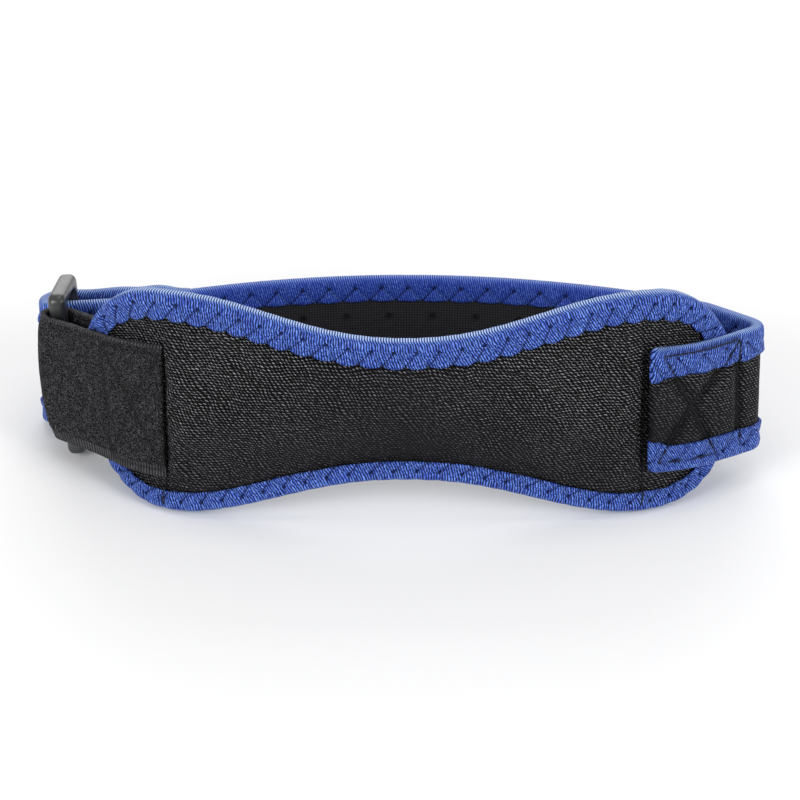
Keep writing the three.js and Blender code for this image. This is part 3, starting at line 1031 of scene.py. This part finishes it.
@dataclass
class EdgeTape:
    """Elastic tape folded over an edge and sewn with a zigzag that draws its inner edges into scallops."""

    name: str
    node: str
    length: float
    half: float
    thick: float
    leg: Callable[[float], float]
    face: Callable[[float, float, float], Vector]
    closed: bool
    finishes: Finishes
    outward: float = 1.0
    pitch: float = 6.2
    hole: float = 3.15
    slant: float = 0.0
    scallop: Callable[[float], float] = lambda u: 0.5
    fold: float = 2.3
    rib: float = 0.76
    roll: float = 0.95
    calm: Calm = NOWHERE_CALM
    rests_on: str = "panel_cushion"
    steps: int = 16
    across: int = 30
    pressed: Callable[[float, float], float] = lambda u, v: 0.0

    @property
    def real_pitch(self) -> float:
        """The stitch length that fits a whole number of times."""
        return self.length / round(self.length / self.pitch)

    @property
    def width(self) -> float:
        """The tape's width before it is folded."""
        legs = (self.leg(self.length / 4) + self.leg(self.length * 3 / 4)) / 2
        return 2 * (legs - self.fold) + math.pi * math.sqrt((self.half**2 + self.fold**2) / 2)

    def _phase(self, u: float) -> float:
        """How far u is from the nearest needle hole, in millimetres."""
        t = u / self.real_pitch
        return (t - round(t)) * self.real_pitch

    def inner(self, u: float) -> float:
        """Where the tape's inner edge lies at u, scalloped between the stitches."""
        near = math.cos(math.pi * self._phase(u) / self.real_pitch)
        uneven = wobble(round(u / self.real_pitch) * 3.7, self.length)
        ragged = 0.14 * wobble(u * 0.6, self.length) + 0.22 * uneven
        return self.leg(u) + self.scallop(u) * (1.5 * math.sqrt(max(0.0, near)) - 0.9) + ragged

    def relief(self, u: float, v: float) -> float:
        """How far the tape stands proud at u along it and v in from the edge."""
        gap = abs(self._phase(u))
        down = max(0.0, v - self.hole) / max(0.1, self.inner(u) - self.hole)
        line = 0.5 * self.real_pitch * min(1.0, down)
        groove = hump(gap - line, 0.6) if v > self.hole else 0.0
        dimple = math.exp(-(gap * gap + (v - self.hole) ** 2) / 0.9)
        pillow = math.cos(math.pi * min(1.0, abs(gap - line) / (0.5 * self.real_pitch))) * 0.5 + 0.5
        swell = (1 - pillow) * 0.42 * smoothstep(v, 1.0, self.hole + 1.0)
        crumple = 0.16 * wobble(u * 0.5, v * 0.7, self.length) * smoothstep(v, 0.8, 2.5)
        return swell + crumple - 0.40 * groove - 0.70 * dimple - 0.7 * self.pressed(u, v)

    def point(self, u: float, v: float, side: float, lift: float = 0.0) -> Vector:
        """A point of the tape's face.

        Args:
            u: distance along the edge.
            v: distance in from the edge.
            side: 1 in front, -1 behind.
            lift: extra height over the surface.

        Returns:
            The finished point.
        """
        return self.face(u, v, side * (self.half + self.relief(u, v) + lift))

    def _across(self, w: float, inner: float) -> tuple[float, float]:
        """The distance in from the edge, and the turn round the fold, at share w across the tape."""
        flat = 0.36
        if w < flat:
            return lerp(inner, self.fold, w / flat), 0.0
        if w > 1 - flat:
            return lerp(inner, self.fold, (1 - w) / flat), math.pi
        turn = (w - flat) / (1 - 2 * flat) * math.pi
        return self.fold * (1 - math.sin(turn) ** 0.9), turn

    def _place(self, a: float, w: float) -> Vector:
        """A point of the tape from the front's inner edge over the fold to the back's."""
        u = a * self.length
        inner = self.inner(u)
        v, turn = self._across(w, inner)
        if turn in (0.0, math.pi):
            tuck = 0.6 * smoothstep(v, inner - 0.7, inner)
            return self.point(u, v, 1.0 if turn == 0.0 else -1.0, -tuck)
        across = math.cos(turn)
        rounded = math.copysign(abs(across) ** 0.8, across)
        return self.face(u, v, rounded * (self.half + self.relief(u, self.fold)))

    def _pattern(self, a: float, w: float) -> Flat:
        """The tape's own coordinates: along it, and in from the edge, negative behind."""
        u = a * self.length
        v, turn = self._across(w, self.inner(u))
        if turn in (0.0, math.pi):
            return u, v if turn == 0.0 else -v
        return u, self.fold * math.cos(turn)

    def build(self) -> bpy.types.Object:
        """Build the tape."""
        finish = RibbedTape(
            name=f"{self.name}_ribs",
            stitch=self.real_pitch,
            hole=self.hole,
            leg=self.leg(self.length / 2),
            slant=self.slant,
            pitch=self.rib,
            roll=self.roll,
            calm=self.calm,
        ).make()

        def sunk(a: float, w: float) -> float:
            """How deep stitches draw the tape's front in."""
            u, v = self._pattern(a, w)
            return self.pressed(u, v) if v > 0 else 0.0

        count = round(self.length / self.real_pitch) * self.steps
        bm = sheet_mesh(count, self.across, self._place, self._pattern, sunk)
        if self.outward < 0:
            bmesh.ops.reverse_faces(bm, faces=bm.faces[:])
        piece = add_piece(self.name, bm, finish, Slot.TAPE)
        thicken(piece, self.thick * 0.8)
        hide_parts(self.node)
        flat = (self.width * MM, self.length * MM)
        return piece

    def stitch(self) -> None:
        """Sew the tape down: pale strands one way, dark ones the other, and a knot at each needle hole."""
        pale, dark = bmesh.new(), bmesh.new()
        count = round(self.length / self.real_pitch)
        for side in (1.0, -1.0):
            for k in range(count):
                start = k * self.real_pitch
                for way, strands in ((-0.5, pale), (0.5, dark)):
                    if not self.closed and not 0.5 <= k + way <= count - 0.5:
                        continue
                    end = start + way * self.real_pitch
                    reach = self.inner(end) + 0.25
                    strand = []
                    for i in range(6):
                        t = i / 5
                        u, v = lerp(start, end, t), lerp(self.hole, reach, t)
                        strand.append(self.point(u, v, side, -0.25 if i in (0, 5) else 0.07))
                    add_strand(strands, strand, 0.11)
                if not self.closed and k == 0:
                    continue
                for slope in (-0.9, 0.5):
                    knot = [
                        self.point(start + 0.5 * t, self.hole + 0.5 * slope * t, side, 0.30 - 0.45 * abs(t))
                        for t in (-1.0, 0.0, 1.0)
                    ]
                    add_strand(dark, knot, 0.16)
        add_piece(f"{self.name}_zigzag", pale, self.finishes.blue_thread, Slot.TAPE)
        add_piece(f"{self.name}_needle_marks", dark, self.finishes.dark_thread, Slot.TAPE)


class PanelOutline:
    """The panel's flat edge, walked evenly all the way round from its right tip over the top."""

    def __init__(self, shape: PanelShape = PANEL) -> None:
        """Measure the edge."""
        fine: list[Vector] = []
        steps = 2880
        for i in range(steps):
            angle = FULL_TURN * i / steps
            along = shape.length / 2 * math.cos(angle)
            fine.append(Vector((along, math.copysign(shape.half_height(along), math.sin(angle)))))
        fine.append(fine[0].copy())
        self.line = MiddleLine(fine, smooth=0, step=0.25)
        self.length = self.line.length

    def at(self, u: float) -> tuple[Vector, Vector]:
        """The edge's point and its inward normal at a distance u round it."""
        return self.line.at(u % self.length)


@dataclass
class PaddedPanel:
    """The knee panel: a foam pad between two cross seams, flat ends, and tape all round."""

    finishes: Finishes
    cushion_rise: float = 5.0
    cushion_reach: Flat = (67.3, 66.6)
    shoulder: float = 6.0
    upper_shoulder: float = 17.0
    margin: float = 0.4
    along: int = 220
    across: int = 60
    frames: int = 20
    most_move: float = 0.0018
    start_share: float = 0.85
    outline: PanelOutline = field(default_factory=PanelOutline)

    def _inset(self) -> float:
        """How far the cloth stays inside the tape's fold."""
        return PANEL.tape_thick + 2 * PANEL.fit

    def _limits(self, along: float) -> Flat:
        """The heights between which the cushion is free at a place along the panel."""
        half = PANEL.half_height(along)
        top = half - PANEL.tape_leg_top - self.margin
        bottom = half - PANEL.tape_leg_bottom - self.margin
        return -max(2.0, bottom), max(2.0, top)

    def _inside(self, along: float) -> float:
        """How far a place is inside the cushion's end, negative past it."""
        return self.cushion_reach[0 if along < 0 else 1] - abs(along)

    def swell(self, along: float, up: float) -> float:
        """The cushion's first shape: how far its front stands over the flat cloth."""
        low, high = self._limits(along)
        shoulder = lerp(self.shoulder, self.upper_shoulder, smoothstep(up, 13.0, 23.0))
        past = 1 - min(1.0, max(0.0, self._inside(along) / shoulder))
        share = min(1.0, abs(2 * (up - low) / (high - low) - 1))
        return self.cushion_rise * math.sqrt(1 - past**2.2) * (1 - share**3.0) ** 0.75

    def front(self, along: float, up: float, rise: float) -> Vector:
        """A point in front of the panel, rise over its flat front."""
        plan = PANEL.off(along, PANEL.thick / 2 + rise)
        return RUN.lean(plan.x, plan.y, PANEL.height(along, up))

    def _flat(self, a: float, b: float) -> Flat:
        """The flat place for shares along and up the panel."""
        reach = PANEL.length / 2 - self._inset() - 0.4
        crowding = math.pi * 0.47
        along = -reach * math.sin(crowding * (1 - 2 * a)) / math.sin(crowding)
        return along, PANEL.half_height(along, self._inset()) * (2 * b - 1)

    def build(self) -> bpy.types.Object:
        """Build the padded panel, swelling its front as cloth under pressure."""

        def place(a: float, b: float) -> Vector:
            """A point of the cushion's first shape."""
            along, up = self._flat(a, b)
            return self.front(along, up, self.swell(along, up) * self.start_share)

        bm = sheet_mesh(self.along, self.across, place, self._flat)
        bm.verts.index_update()
        layer = bm.loops.layers.uv["cloth"]
        flats = {
            loop.vert.index: (loop[layer].uv.x * PER_METRE, loop[layer].uv.y * PER_METRE)
            for face in bm.faces
            for loop in face.loops
        }
        sheet = link_mesh("pad_front", bm)
        self._inflate(sheet, [i for i, (along, up) in flats.items() if self.swell(along, up) < 0.02])
        self._settle(sheet, flats)
        piece = self._close(sheet)
        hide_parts("pad_panel")
        return piece

    def _inflate(self, sheet: bpy.types.Object, held: Sequence[int]) -> None:
        """Swell the free part of a sheet with the cloth simulation and keep the result."""
        group = sheet.vertex_groups.new(name="held")
        group.add(list(held), 1.0, "REPLACE")
        before = [v.co.copy() for v in sheet.data.vertices]
        cloth = sheet.modifiers.new("cloth", "CLOTH")
        settings = cloth.settings
        settings.quality = 6
        settings.mass = 0.15
        settings.tension_stiffness = 12
        settings.compression_stiffness = 12
        settings.shear_stiffness = 6
        settings.bending_stiffness = 0.4
        settings.vertex_group_mass = "held"
        settings.use_pressure = True
        settings.uniform_pressure_force = 5.0
        settings.shrink_min = -0.02
        settings.effector_weights.gravity = 0.0
        cloth.collision_settings.use_collision = False
        cloth.point_cache.frame_start = 1
        cloth.point_cache.frame_end = self.frames
        scene = bpy.context.scene
        for number in range(1, self.frames + 1):
            scene.frame_set(number)
        graph = bpy.context.evaluated_depsgraph_get()
        swollen = [v.co.copy() for v in sheet.evaluated_get(graph).data.vertices]
        sheet.modifiers.remove(cloth)
        scene.frame_set(1)
        moved = 0.0
        for vertex, start, end in zip(sheet.data.vertices, before, swollen):
            step = end - start
            if step.length > self.most_move:
                step *= self.most_move / step.length
            moved = max(moved, step.length)
            vertex.co = start + step
        LOG.info("cushion swelled by up to %.2f mm", moved * PER_METRE)

    def _settle(self, sheet: bpy.types.Object, flats: dict[int, Flat]) -> None:
        """Press the cross seams in and give the cloth its slight unevenness."""
        for index, (along, up) in flats.items():
            _, _, out = PANEL.plan(along)
            low, high = self._limits(along)
            inside = smoothstep(up - low, -1.0, 4.0) * smoothstep(high - up, -1.0, 4.0)
            seam = hump(self._inside(along) + 0.8, 0.9) * (1 - smoothstep(up, 13.0, 19.0))
            pull = math.sin(up * 0.9) * hump(self._inside(along) - 5, 4)
            rough = 0.20 * wobble(along * 0.07, up * 0.09) + 0.10 * wobble(along * 0.25, up * 0.25)
            push = (rough * inside + 0.10 * pull * inside - 0.6 * seam) * MM
            turned = STANCE.place(out.x, out.y, 0.0) - STANCE.place(0.0, 0.0, 0.0)
            sheet.data.vertices[index].co += turned.normalized() * push

    def _close(self, sheet: bpy.types.Object) -> bpy.types.Object:
        """Close the swollen front with its lining."""
        bm = bmesh.new()
        bm.from_mesh(sheet.data)
        mesh = sheet.data
        bpy.data.objects.remove(sheet)
        bpy.data.meshes.remove(mesh)
        layer = bm.loops.layers.uv["cloth"]
        made = bmesh.ops.extrude_face_region(bm, geom=bm.faces[:], use_keep_orig=True)
        back = {item for item in made["geom"] if isinstance(item, bmesh.types.BMVert)}
        flats = {loop.vert: loop[layer].uv.copy() for face in bm.faces for loop in face.loops}
        for vert in back:
            along, up = flats[vert].x * PER_METRE, flats[vert].y * PER_METRE
            dent = 0.5 * (1 - smoothstep(self.swell(along, up), 0.0, 2.0))
            vert.co = self.front(along, up, -PANEL.thick - 0.4 + dent)
        for face in bm.faces:
            if all(vert in back for vert in face.verts):
                face.material_index = 1
        bmesh.ops.recalc_face_normals(bm, faces=bm.faces[:])
        piece = add_piece("panel_cushion", bm, self.finishes.knit, Slot.KNIT)
        piece.data.materials.append(self.finishes.lining)
        return piece

    def tape(self) -> EdgeTape:
        """The tape round the panel's edge."""

        def face(u: float, v: float, off: float) -> Vector:
            """A point u round the edge, v in from it and off the middle surface."""
            point, inward = self.outline.at(u)
            flat = point + inward * v
            plan = PANEL.off(flat.x, off)
            return RUN.lean(plan.x, plan.y, PANEL.height(flat.x, flat.y))

        def leg(u: float) -> float:
            """How far the tape reaches in from the edge."""
            return PANEL.tape_leg(self.outline.at(u)[0].y)

        def high(u: float) -> float:
            """1 on the upper edge, 0 on the lower."""
            return smoothstep(self.outline.at(u)[0].y, -15.0, 15.0)

        return EdgeTape(
            name="panel_tape",
            node="pad_tape",
            length=self.outline.length,
            half=PANEL.half,
            thick=PANEL.tape_thick,
            leg=leg,
            face=face,
            closed=True,
            finishes=self.finishes,
            outward=-1.0,
            slant=0.35,
            scallop=lambda u: lerp(0.30, 0.66, high(u)),
        )

    def seams(self, tape: EdgeTape) -> bpy.types.Object:
        """Sew the two seams across the panel that close the cushion in, down over the tape's lower edge."""
        bm = bmesh.new()
        for reach, slope in ((-self.cushion_reach[0] - 1.4, 0.0), (self.cushion_reach[1] + 0.9, 1.2)):
            foot = -PANEL.half_height(reach)
            knee = foot + PANEL.tape_leg_bottom

            def place(x: float, up: float, lift: float) -> Vector:
                """A point over the panel's front, or over the tape at its lower edge."""
                on_tape = smoothstep(knee - up, -1.0, 0.6)
                rise = tape.half - PANEL.thick / 2 + 0.35
                return self.front(x, up, lerp(-0.45, rise, on_tape) + lift)

            line = [(reach, 16.0), (reach, knee + 0.8), (reach - slope, foot + 0.8)]
            sew(bm, line, place, stitch=2.8, radius=0.26)
        return add_piece("panel_cross_seams", bm, self.finishes.black_thread, Slot.KNIT)


@dataclass
class BackBand:
    """The knit band round the back, its two tapes, and the box of stitches that holds its end down."""

    finishes: Finishes
    hole_pitch: float = 12.8
    hole_phase: float = 0.9
    hole_radius: float = 1.45
    hole_rows: tuple[float, ...] = (-6.4, 6.4)
    fold_reach: Flat = (2.6, 1.7)
    sags: tuple[Flat, ...] = (
        (250.0, 0.0),
        (257.5, -1.5),
        (271.0, -1.6),
        (286.0, 0.7),
        (293.0, 0.9),
        (305.5, -1.4),
    )
    end_round: float = 1.7
    end_corner: float = 2.2
    box: BoxStitch = BoxStitch(
        reach=34.0,
        top_left=(3.6, 16.9),
        top_right=(28.4, 17.4),
        low_left=(2.6, -15.6),
        low_right=(29.6, -15.2),
        cross=(12.6, 0.6),
        cross_end=(21.1, -17.0),
        shoulder=(23.7, 11.6),
    )

    def _point(self, s: float, off: float, z: float) -> Vector:
        """A point of the band that stands off its middle line, with its two ends rounded."""
        length = RUN.band.length
        to_end = min(s, length - s)
        corner = max(0.0, abs(z) - STRAP.width / 2 + self.end_corner)
        nip = self.end_corner - math.sqrt(max(0.0, self.end_corner**2 - corner**2))
        nip *= 1 - smoothstep(to_end, 0.0, 10.0)
        past = 1 - min(1.0, to_end / self.end_round)
        z += self._sag(s)
        s += nip if s < length / 2 else -nip
        point, left = RUN.band.at(s)
        off *= math.sqrt(1 - past * past)
        bar = RUN.back_bar.x
        loose = lerp(*self.fold_reach, z / STRAP.width + 0.5)
        loose *= 1 - smoothstep(point.x, bar - RUN.band_wrap, bar + 12.0)
        return RUN.lean(point.x - left.x * off - loose, point.y - left.y * off, z, STRAP.band_lean)

    def _sag(self, s: float) -> float:
        """How far the band's loose fold and free end stand over or under its level run."""
        for (a, low), (b, high) in zip(self.sags, self.sags[1:]):
            if a <= s <= b:
                return lerp(low, high, smoothstep(s, a, b))
        return self.sags[-1][1] if s > self.sags[-1][0] else 0.0

    def _puff(self, s: float, z: float) -> float:
        """How far the knit stands proud of the band's plain thickness in front."""
        up = STRAP.width / 2
        rise = 0.35 * (1 - (z / up) ** 4) + 0.10 * wobble(s * 0.12, z * 0.15, 7.0)
        if s > self.box.reach:
            return rise
        away = far_from(self.box.lines, s, z)
        inside = 1 - smoothstep(s, self.box.reach - 6.0, self.box.reach)
        bare = smoothstep(up - self.leg(s, True) - z, -0.4, 1.8)
        bare *= smoothstep(z + up - self.leg(s, False), -0.4, 1.8)
        return rise + inside * (1.7 * bare * smoothstep(away, 0.0, 4.6) - 0.9 * hump(away, 1.5))

    @staticmethod
    def leg(s: float, top: bool) -> float:
        """How far a tape reaches in from the band's edge, more on the sewn end than on the stretched back."""
        plain = STRAP.band_leg_top if top else STRAP.band_leg_bottom
        more = 1.2 if top else 1.5
        return plain + more * (1 - smoothstep(s, 30.0, 60.0)) + 1.3 * (1 - smoothstep(s, 2.5, 6.0))

    def _hole(self, s: float, z: float) -> float:
        """How deep the pin holes of the inner face are here, from 0 to 1."""
        gap = (s - self.hole_phase) / self.hole_pitch
        gap = (gap - round(gap)) * self.hole_pitch
        nearest = min(math.hypot(gap, z - row) for row in self.hole_rows)
        return 1 - smoothstep(nearest, self.hole_radius * 0.45, self.hole_radius)

    def build(self) -> bpy.types.Object:
        """Build the band's knit front and its lining behind, pierced with pin holes."""
        length = RUN.band.length
        up = STRAP.width / 2 - STRAP.band_tape_thick - PANEL.fit
        half = STRAP.band_thick / 2
        count = 116
        side_count = count // 2 - 1

        def flat(b: float) -> tuple[float, bool]:
            """The height across the band and whether it is in front."""
            k = round(b * count) % count
            if k <= side_count:
                return lerp(-up, up, k / side_count), True
            return lerp(up, -up, (k - side_count - 1) / side_count), False

        def place(a: float, b: float) -> Vector:
            """A point of the knit in front or of the lining behind."""
            z, front = flat(b)
            s = a * length
            if front:
                return self._point(s, half + self._puff(s, z), z)
            return self._point(s, -half - 0.25 * (1 - (z / up) ** 4) + 0.8 * self._hole(s, z), z)

        def pattern(a: float, b: float) -> Flat:
            """The cloth's own coordinates."""
            return a * length, flat(b)[0]

        def sunk(a: float, b: float) -> float:
            """How deep the stitches in front or the pin holes behind are."""
            z, front = flat(b)
            return self.box.near(a * length, z, 1.3) if front else self._hole(a * length, z)

        bm = sheet_mesh(round(length / 0.65), count, place, pattern, sunk)
        bm.faces.ensure_lookup_table()
        for face in bm.faces:
            _, left = RUN.band.at(face.loops[0][bm.loops.layers.uv["cloth"]].uv.x * PER_METRE)
            if face.normal.dot(STANCE.place(left.x, left.y, 0) - STANCE.place(0, 0, 0)) > 0:
                face.material_index = 1
        bmesh.ops.recalc_face_normals(bm, faces=bm.faces[:])
        piece = add_piece("band_knit", bm, self.finishes.knit, Slot.KNIT)
        piece.data.materials.append(self.finishes.lining)
        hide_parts("band")
        2 * up * MM
        return piece

    def tape(self, top: bool) -> EdgeTape:
        """One of the band's edge tapes."""
        sign = 1.0 if top else -1.0
        leg = self.leg(RUN.band.length / 2, top)

        def face(u: float, v: float, off: float) -> Vector:
            """A point u along the band, v in from its edge and off its middle line."""
            return self._point(u, off, sign * (STRAP.width / 2 - v))

        def pressed(u: float, v: float) -> float:
            """How deep the box of stitches has drawn the tape in."""
            return self.box.near(u, sign * (STRAP.width / 2 - v), 0.5)

        return EdgeTape(
            name="band_tape_upper" if top else "band_tape_lower",
            node="band_tape_top" if top else "band_tape_bottom",
            length=RUN.band.length,
            half=STRAP.band_half,
            thick=STRAP.band_tape_thick,
            leg=lambda u: self.leg(u, top),
            face=face,
            closed=False,
            finishes=self.finishes,
            outward=sign,
            pitch=7.8,
            rib=0.66,
            roll=0.62,
            calm=(36.0, 222.0, 0.5),
            rests_on="band_knit",
            hole=0.45 * leg,
            slant=0.25 if top else 0.55,
            scallop=lambda u: 0.24,
            fold=1.7,
            steps=20,
            across=28,
            pressed=pressed,
        )

    def sew_end(self) -> bpy.types.Object:
        """Sew the band's end to the panel with black thread."""
        half = STRAP.width / 2

        def place(s: float, z: float, lift: float) -> Vector:
            """A point over the knit, or over a tape where there is one."""
            upper = smoothstep(z - half + self.leg(s, True), -0.3, 0.3)
            lower = smoothstep(-z - half + self.leg(s, False), -0.3, 0.3)
            knit = STRAP.band_thick / 2 + self._puff(s, z)
            return self._point(s, lerp(knit, STRAP.band_half - 0.4, max(upper, lower)) + lift, z)

        return self.box.sew("band_end_stitching", place, 0.2, self.finishes.black_thread, Slot.KNIT)


@dataclass
class RingTab:
    """The loop cloth tab that is folded round the ring and sewn to the panel's end."""

    finishes: Finishes
    box: BoxStitch = BoxStitch(
        reach=24.0,
        top_left=(0.9, 16.4),
        top_right=(19.0, 17.2),
        low_left=(0.9, -17.2),
        low_right=(19.0, -17.2),
        cross=(10.0, 0.2),
        cross_end=(18.6, -17.0),
        shoulder=(14.6, 8.8),
    )
    slack: float = 2.6
    slack_height: float = -5.0
    spread: float = 2.0

    def _point(self, s: float, off: float, z: float) -> Vector:
        """A point of the tab that stands off its middle line; its fold hangs loose round the ring."""
        point, left = RUN.tab.at(s)
        past = 1 - min(1.0, s / 1.0)
        off *= math.sqrt(1 - 0.8 * past * past)
        share = (z - self.slack_height) / (24.0 if z > self.slack_height else 17.0)
        bar = RUN.front_bar.x
        loose = self.slack * (1 - abs(share) ** 2.2)
        loose *= 1 - smoothstep(point.x, bar - RUN.tab_wrap, bar + 10.0)
        z -= self.spread * max(0.0, -z / (STRAP.width / 2)) * (1 - smoothstep(s, 0.0, 40.0))
        return RUN.lean(point.x + left.x * off - loose, point.y + left.y * off, z)

    def _pressed(self, s: float, z: float) -> float:
        """How deep the box of stitches has drawn the tab in, from 0 to 1."""
        return self.box.near(s, z, 0.5)

    def _face(self, s: float, z: float) -> float:
        """How far the tab's outer face stands off its middle line."""
        half = STRAP.width / 2
        rough = 0.10 * wobble(s * 0.22, z * 0.22, 3.0) + 0.07 * wobble(s * 1.6, z * 1.6, 9.0)
        edge = 0.30 * smoothstep(abs(z), half - 3.4, half - 2.6)
        return STRAP.tab_thick / 2 + rough - edge - 0.24 * self._pressed(s, z)

    def build(self) -> bpy.types.Object:
        """Build the tab."""
        length, half = RUN.tab.length, STRAP.width / 2

        def flat(a: float, b: float) -> Flat:
            """The cloth's own coordinates."""
            return a * length, lerp(-half, half, b)

        def place(a: float, b: float) -> Vector:
            """A point of the tab's outer face."""
            s, z = flat(a, b)
            return self._point(s, self._face(s, z), z)

        bm = sheet_mesh(round(length / 0.45), 84, place, flat, lambda a, b: self._pressed(*flat(a, b)))
        bmesh.ops.reverse_faces(bm, faces=bm.faces[:])
        piece = add_piece("ring_tab_cloth", bm, self.finishes.loop, Slot.LOOP)
        thicken(piece, STRAP.tab_thick * 0.9)
        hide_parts("ring_tab")
        2 * half * MM
        length * MM
        return piece

    def sew_end(self) -> bpy.types.Object:
        """Sew the tab's end to the panel with black thread."""

        def place(s: float, z: float, lift: float) -> Vector:
            """A point over the tab's outer face."""
            return self._point(s, self._face(s, z) - 0.06 + lift, z)

        return self.box.sew("ring_tab_stitching", place, 0.12, self.finishes.black_thread, Slot.LOOP)


@dataclass
class MouldedRing:
    """The plastic ring: a flat frame with soft edges, rounder at the lower back, its foot under the tab."""

    finishes: Finishes
    edge: float = 1.7
    foot: float = 1.6
    arc_steps: int = 10

    @staticmethod
    def _round(bm: bmesh.types.BMesh, geom: Sequence, radius: float, steps: int, what: str) -> None:
        """Round off vertices or edges; what is VERTICES or EDGES."""
        bmesh.ops.bevel(
            bm,
            geom=geom,
            offset=radius,
            offset_type="OFFSET",
            segments=steps,
            profile=0.5,
            affect=what,
            material=-1,
            clamp_overlap=what == "EDGES",
        )

    def _rim(self, bm: bmesh.types.BMesh, width: float, height: float, corner: float, heel: float) -> None:
        """Add a rectangle with round corners, the lower right one with a radius of its own."""
        plane = bmesh.ops.create_grid(bm, x_segments=1, y_segments=1, size=0.5)
        bmesh.ops.scale(bm, vec=(width, height, 1.0), verts=plane["verts"])
        for vert in plane["verts"]:
            radius = heel if vert.co.x > 0 > vert.co.y else corner
            self._round(bm, [vert], radius, self.arc_steps, "VERTICES")

    def build(self) -> bpy.types.Object:
        """Build the ring."""
        sizes = STRAP
        slot = sizes.width + 2 * sizes.ring_play
        bm = bmesh.new()
        height = slot + 2 * sizes.ring_rail
        self._rim(bm, RUN.spacing + sizes.ring_bar, height, sizes.ring_corner, sizes.ring_heel_corner)
        self._rim(bm, RUN.spacing - sizes.ring_bar, slot, sizes.ring_slot_corner, sizes.ring_slot_corner)
        bmesh.ops.delete(bm, geom=bm.faces[:], context="FACES_ONLY")
        bmesh.ops.bridge_loops(bm, edges=bm.edges[:])
        bmesh.ops.translate(bm, vec=(0, 0, -sizes.ring_thick / 2), verts=bm.verts[:])
        made = bmesh.ops.extrude_face_region(bm, geom=bm.faces[:])
        top = [item for item in made["geom"] if isinstance(item, bmesh.types.BMVert)]
        bmesh.ops.translate(bm, vec=(0, 0, sizes.ring_thick), verts=top)
        bmesh.ops.recalc_face_normals(bm, faces=bm.faces[:])
        rims = [edge for edge in bm.edges if edge.is_manifold and edge.calc_face_angle() > 1.0]
        self._round(bm, rims, self.edge, 5, "EDGES")
        yaw, lean = math.radians(sizes.ring_yaw), math.radians(sizes.ring_lean)
        turn = Matrix.Rotation(math.pi / 2 - yaw, 3, "Z") @ Matrix.Rotation(math.pi / 2 - lean, 3, "X")
        centre = Vector((RUN.ring_centre.x, RUN.ring_centre.y, sizes.ring_rise))
        centre.x -= centre.z * math.tan(lean)
        for vert in bm.verts:
            if vert.co.y < 0:
                vert.co.y -= self.foot
            vert.co = STANCE.place(*(centre + turn @ vert.co))
        for face in bm.faces:
            face.smooth = True
        piece = add_piece("moulded_ring", bm, self.finishes.plastic, Slot.PLASTIC)
        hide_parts("ring")
        return piece


@dataclass
class Studio:
    """A pale floor, soft lights and the camera."""

    elevation: float = 23.0
    distance: float = 1111.0
    focal_pixels: float = 3950.0
    frame_pixels: float = 800.0
    sensor: float = 36.0
    aim: tuple[float, float, float] = (-1.5, 0.0, 4.35)
    sky: float = 0.56

    def build(self) -> None:
        """Set the whole studio up."""
        bpy.context.scene.view_settings.view_transform = "Standard"
        self._floor()
        self._lights()
        self._camera()

    def _floor(self) -> None:
        """Lay the pale floor."""
        bm = bmesh.new()
        bmesh.ops.create_grid(bm, x_segments=1, y_segments=1, size=3.0)
        floor = link_mesh("floor", bm)
        finish = NodeTree("pale_floor")
        floor.data.materials.append(finish.surface((0.86, 0.86, 0.865), 0.8, specular=0.2))

    def _lights(self) -> None:
        """Hang a white sky and four lamps, each with its place in metres, its size and its power in watts."""
        world = bpy.data.worlds.new("studio")
        world.use_nodes = True
        backdrop = world.node_tree.nodes["Background"].inputs
        backdrop["Color"].default_value = (1.0, 1.0, 1.0, 1.0)
        backdrop["Strength"].default_value = self.sky
        bpy.context.scene.world = world
        lamps = (
            ("left", (-0.75, -0.60, 0.55), 0.45, 4.6),
            ("right", (0.75, -0.55, 0.50), 0.45, 4.6),
            ("above", (0.0, 0.10, 0.95), 0.5, 1.6),
            ("behind", (0.0, 1.10, 0.50), 1.1, 7.5),
        )
        for name, place, size, power in lamps:
            light = bpy.data.lights.new(name, "AREA")
            light.size = size
            light.energy = power
            lamp = bpy.data.objects.new(name, light)
            lamp.location = place
            lamp.rotation_euler = (Vector((0, 0, 0.03)) - Vector(place)).to_track_quat("-Z", "Y").to_euler()
            bpy.context.scene.collection.objects.link(lamp)

    def _camera(self) -> None:
        """Stand the camera at the photograph's angle."""
        e = math.radians(self.elevation)
        x, y, z = self.aim
        eye = STANCE.place(x, y - self.distance * math.cos(e), z + self.distance * math.sin(e))
        target = STANCE.place(x, y, z)
        data = bpy.data.cameras.new("camera")
        data.sensor_width = self.sensor
        data.lens = self.sensor * self.focal_pixels / self.frame_pixels
        data.clip_start = 0.05
        data.clip_end = 20.0
        camera = bpy.data.objects.new("camera", data)
        camera.location = eye
        camera.rotation_euler = (target - eye).to_track_quat("-Z", "Y").to_euler()
        bpy.context.scene.collection.objects.link(camera)
        bpy.context.scene.camera = camera


def main() -> None:
    """Build the strap and its studio."""
    logging.basicConfig(level=logging.INFO, format="%(name)s: %(message)s")
    Studio().build()
    finishes = Finishes()
    panel = PaddedPanel(finishes)
    panel.build()
    edge = panel.tape()
    edge.build()
    edge.stitch()
    panel.seams(edge)
    MouldedRing(finishes).build()
    band = BackBand(finishes)
    band.build()
    for top in (True, False):
        tape = band.tape(top)
        tape.build()
        tape.stitch()
    band.sew_end()
    tab = RingTab(finishes)
    tab.build()
    tab.sew_end()


if __name__ == "__main__":
    main()
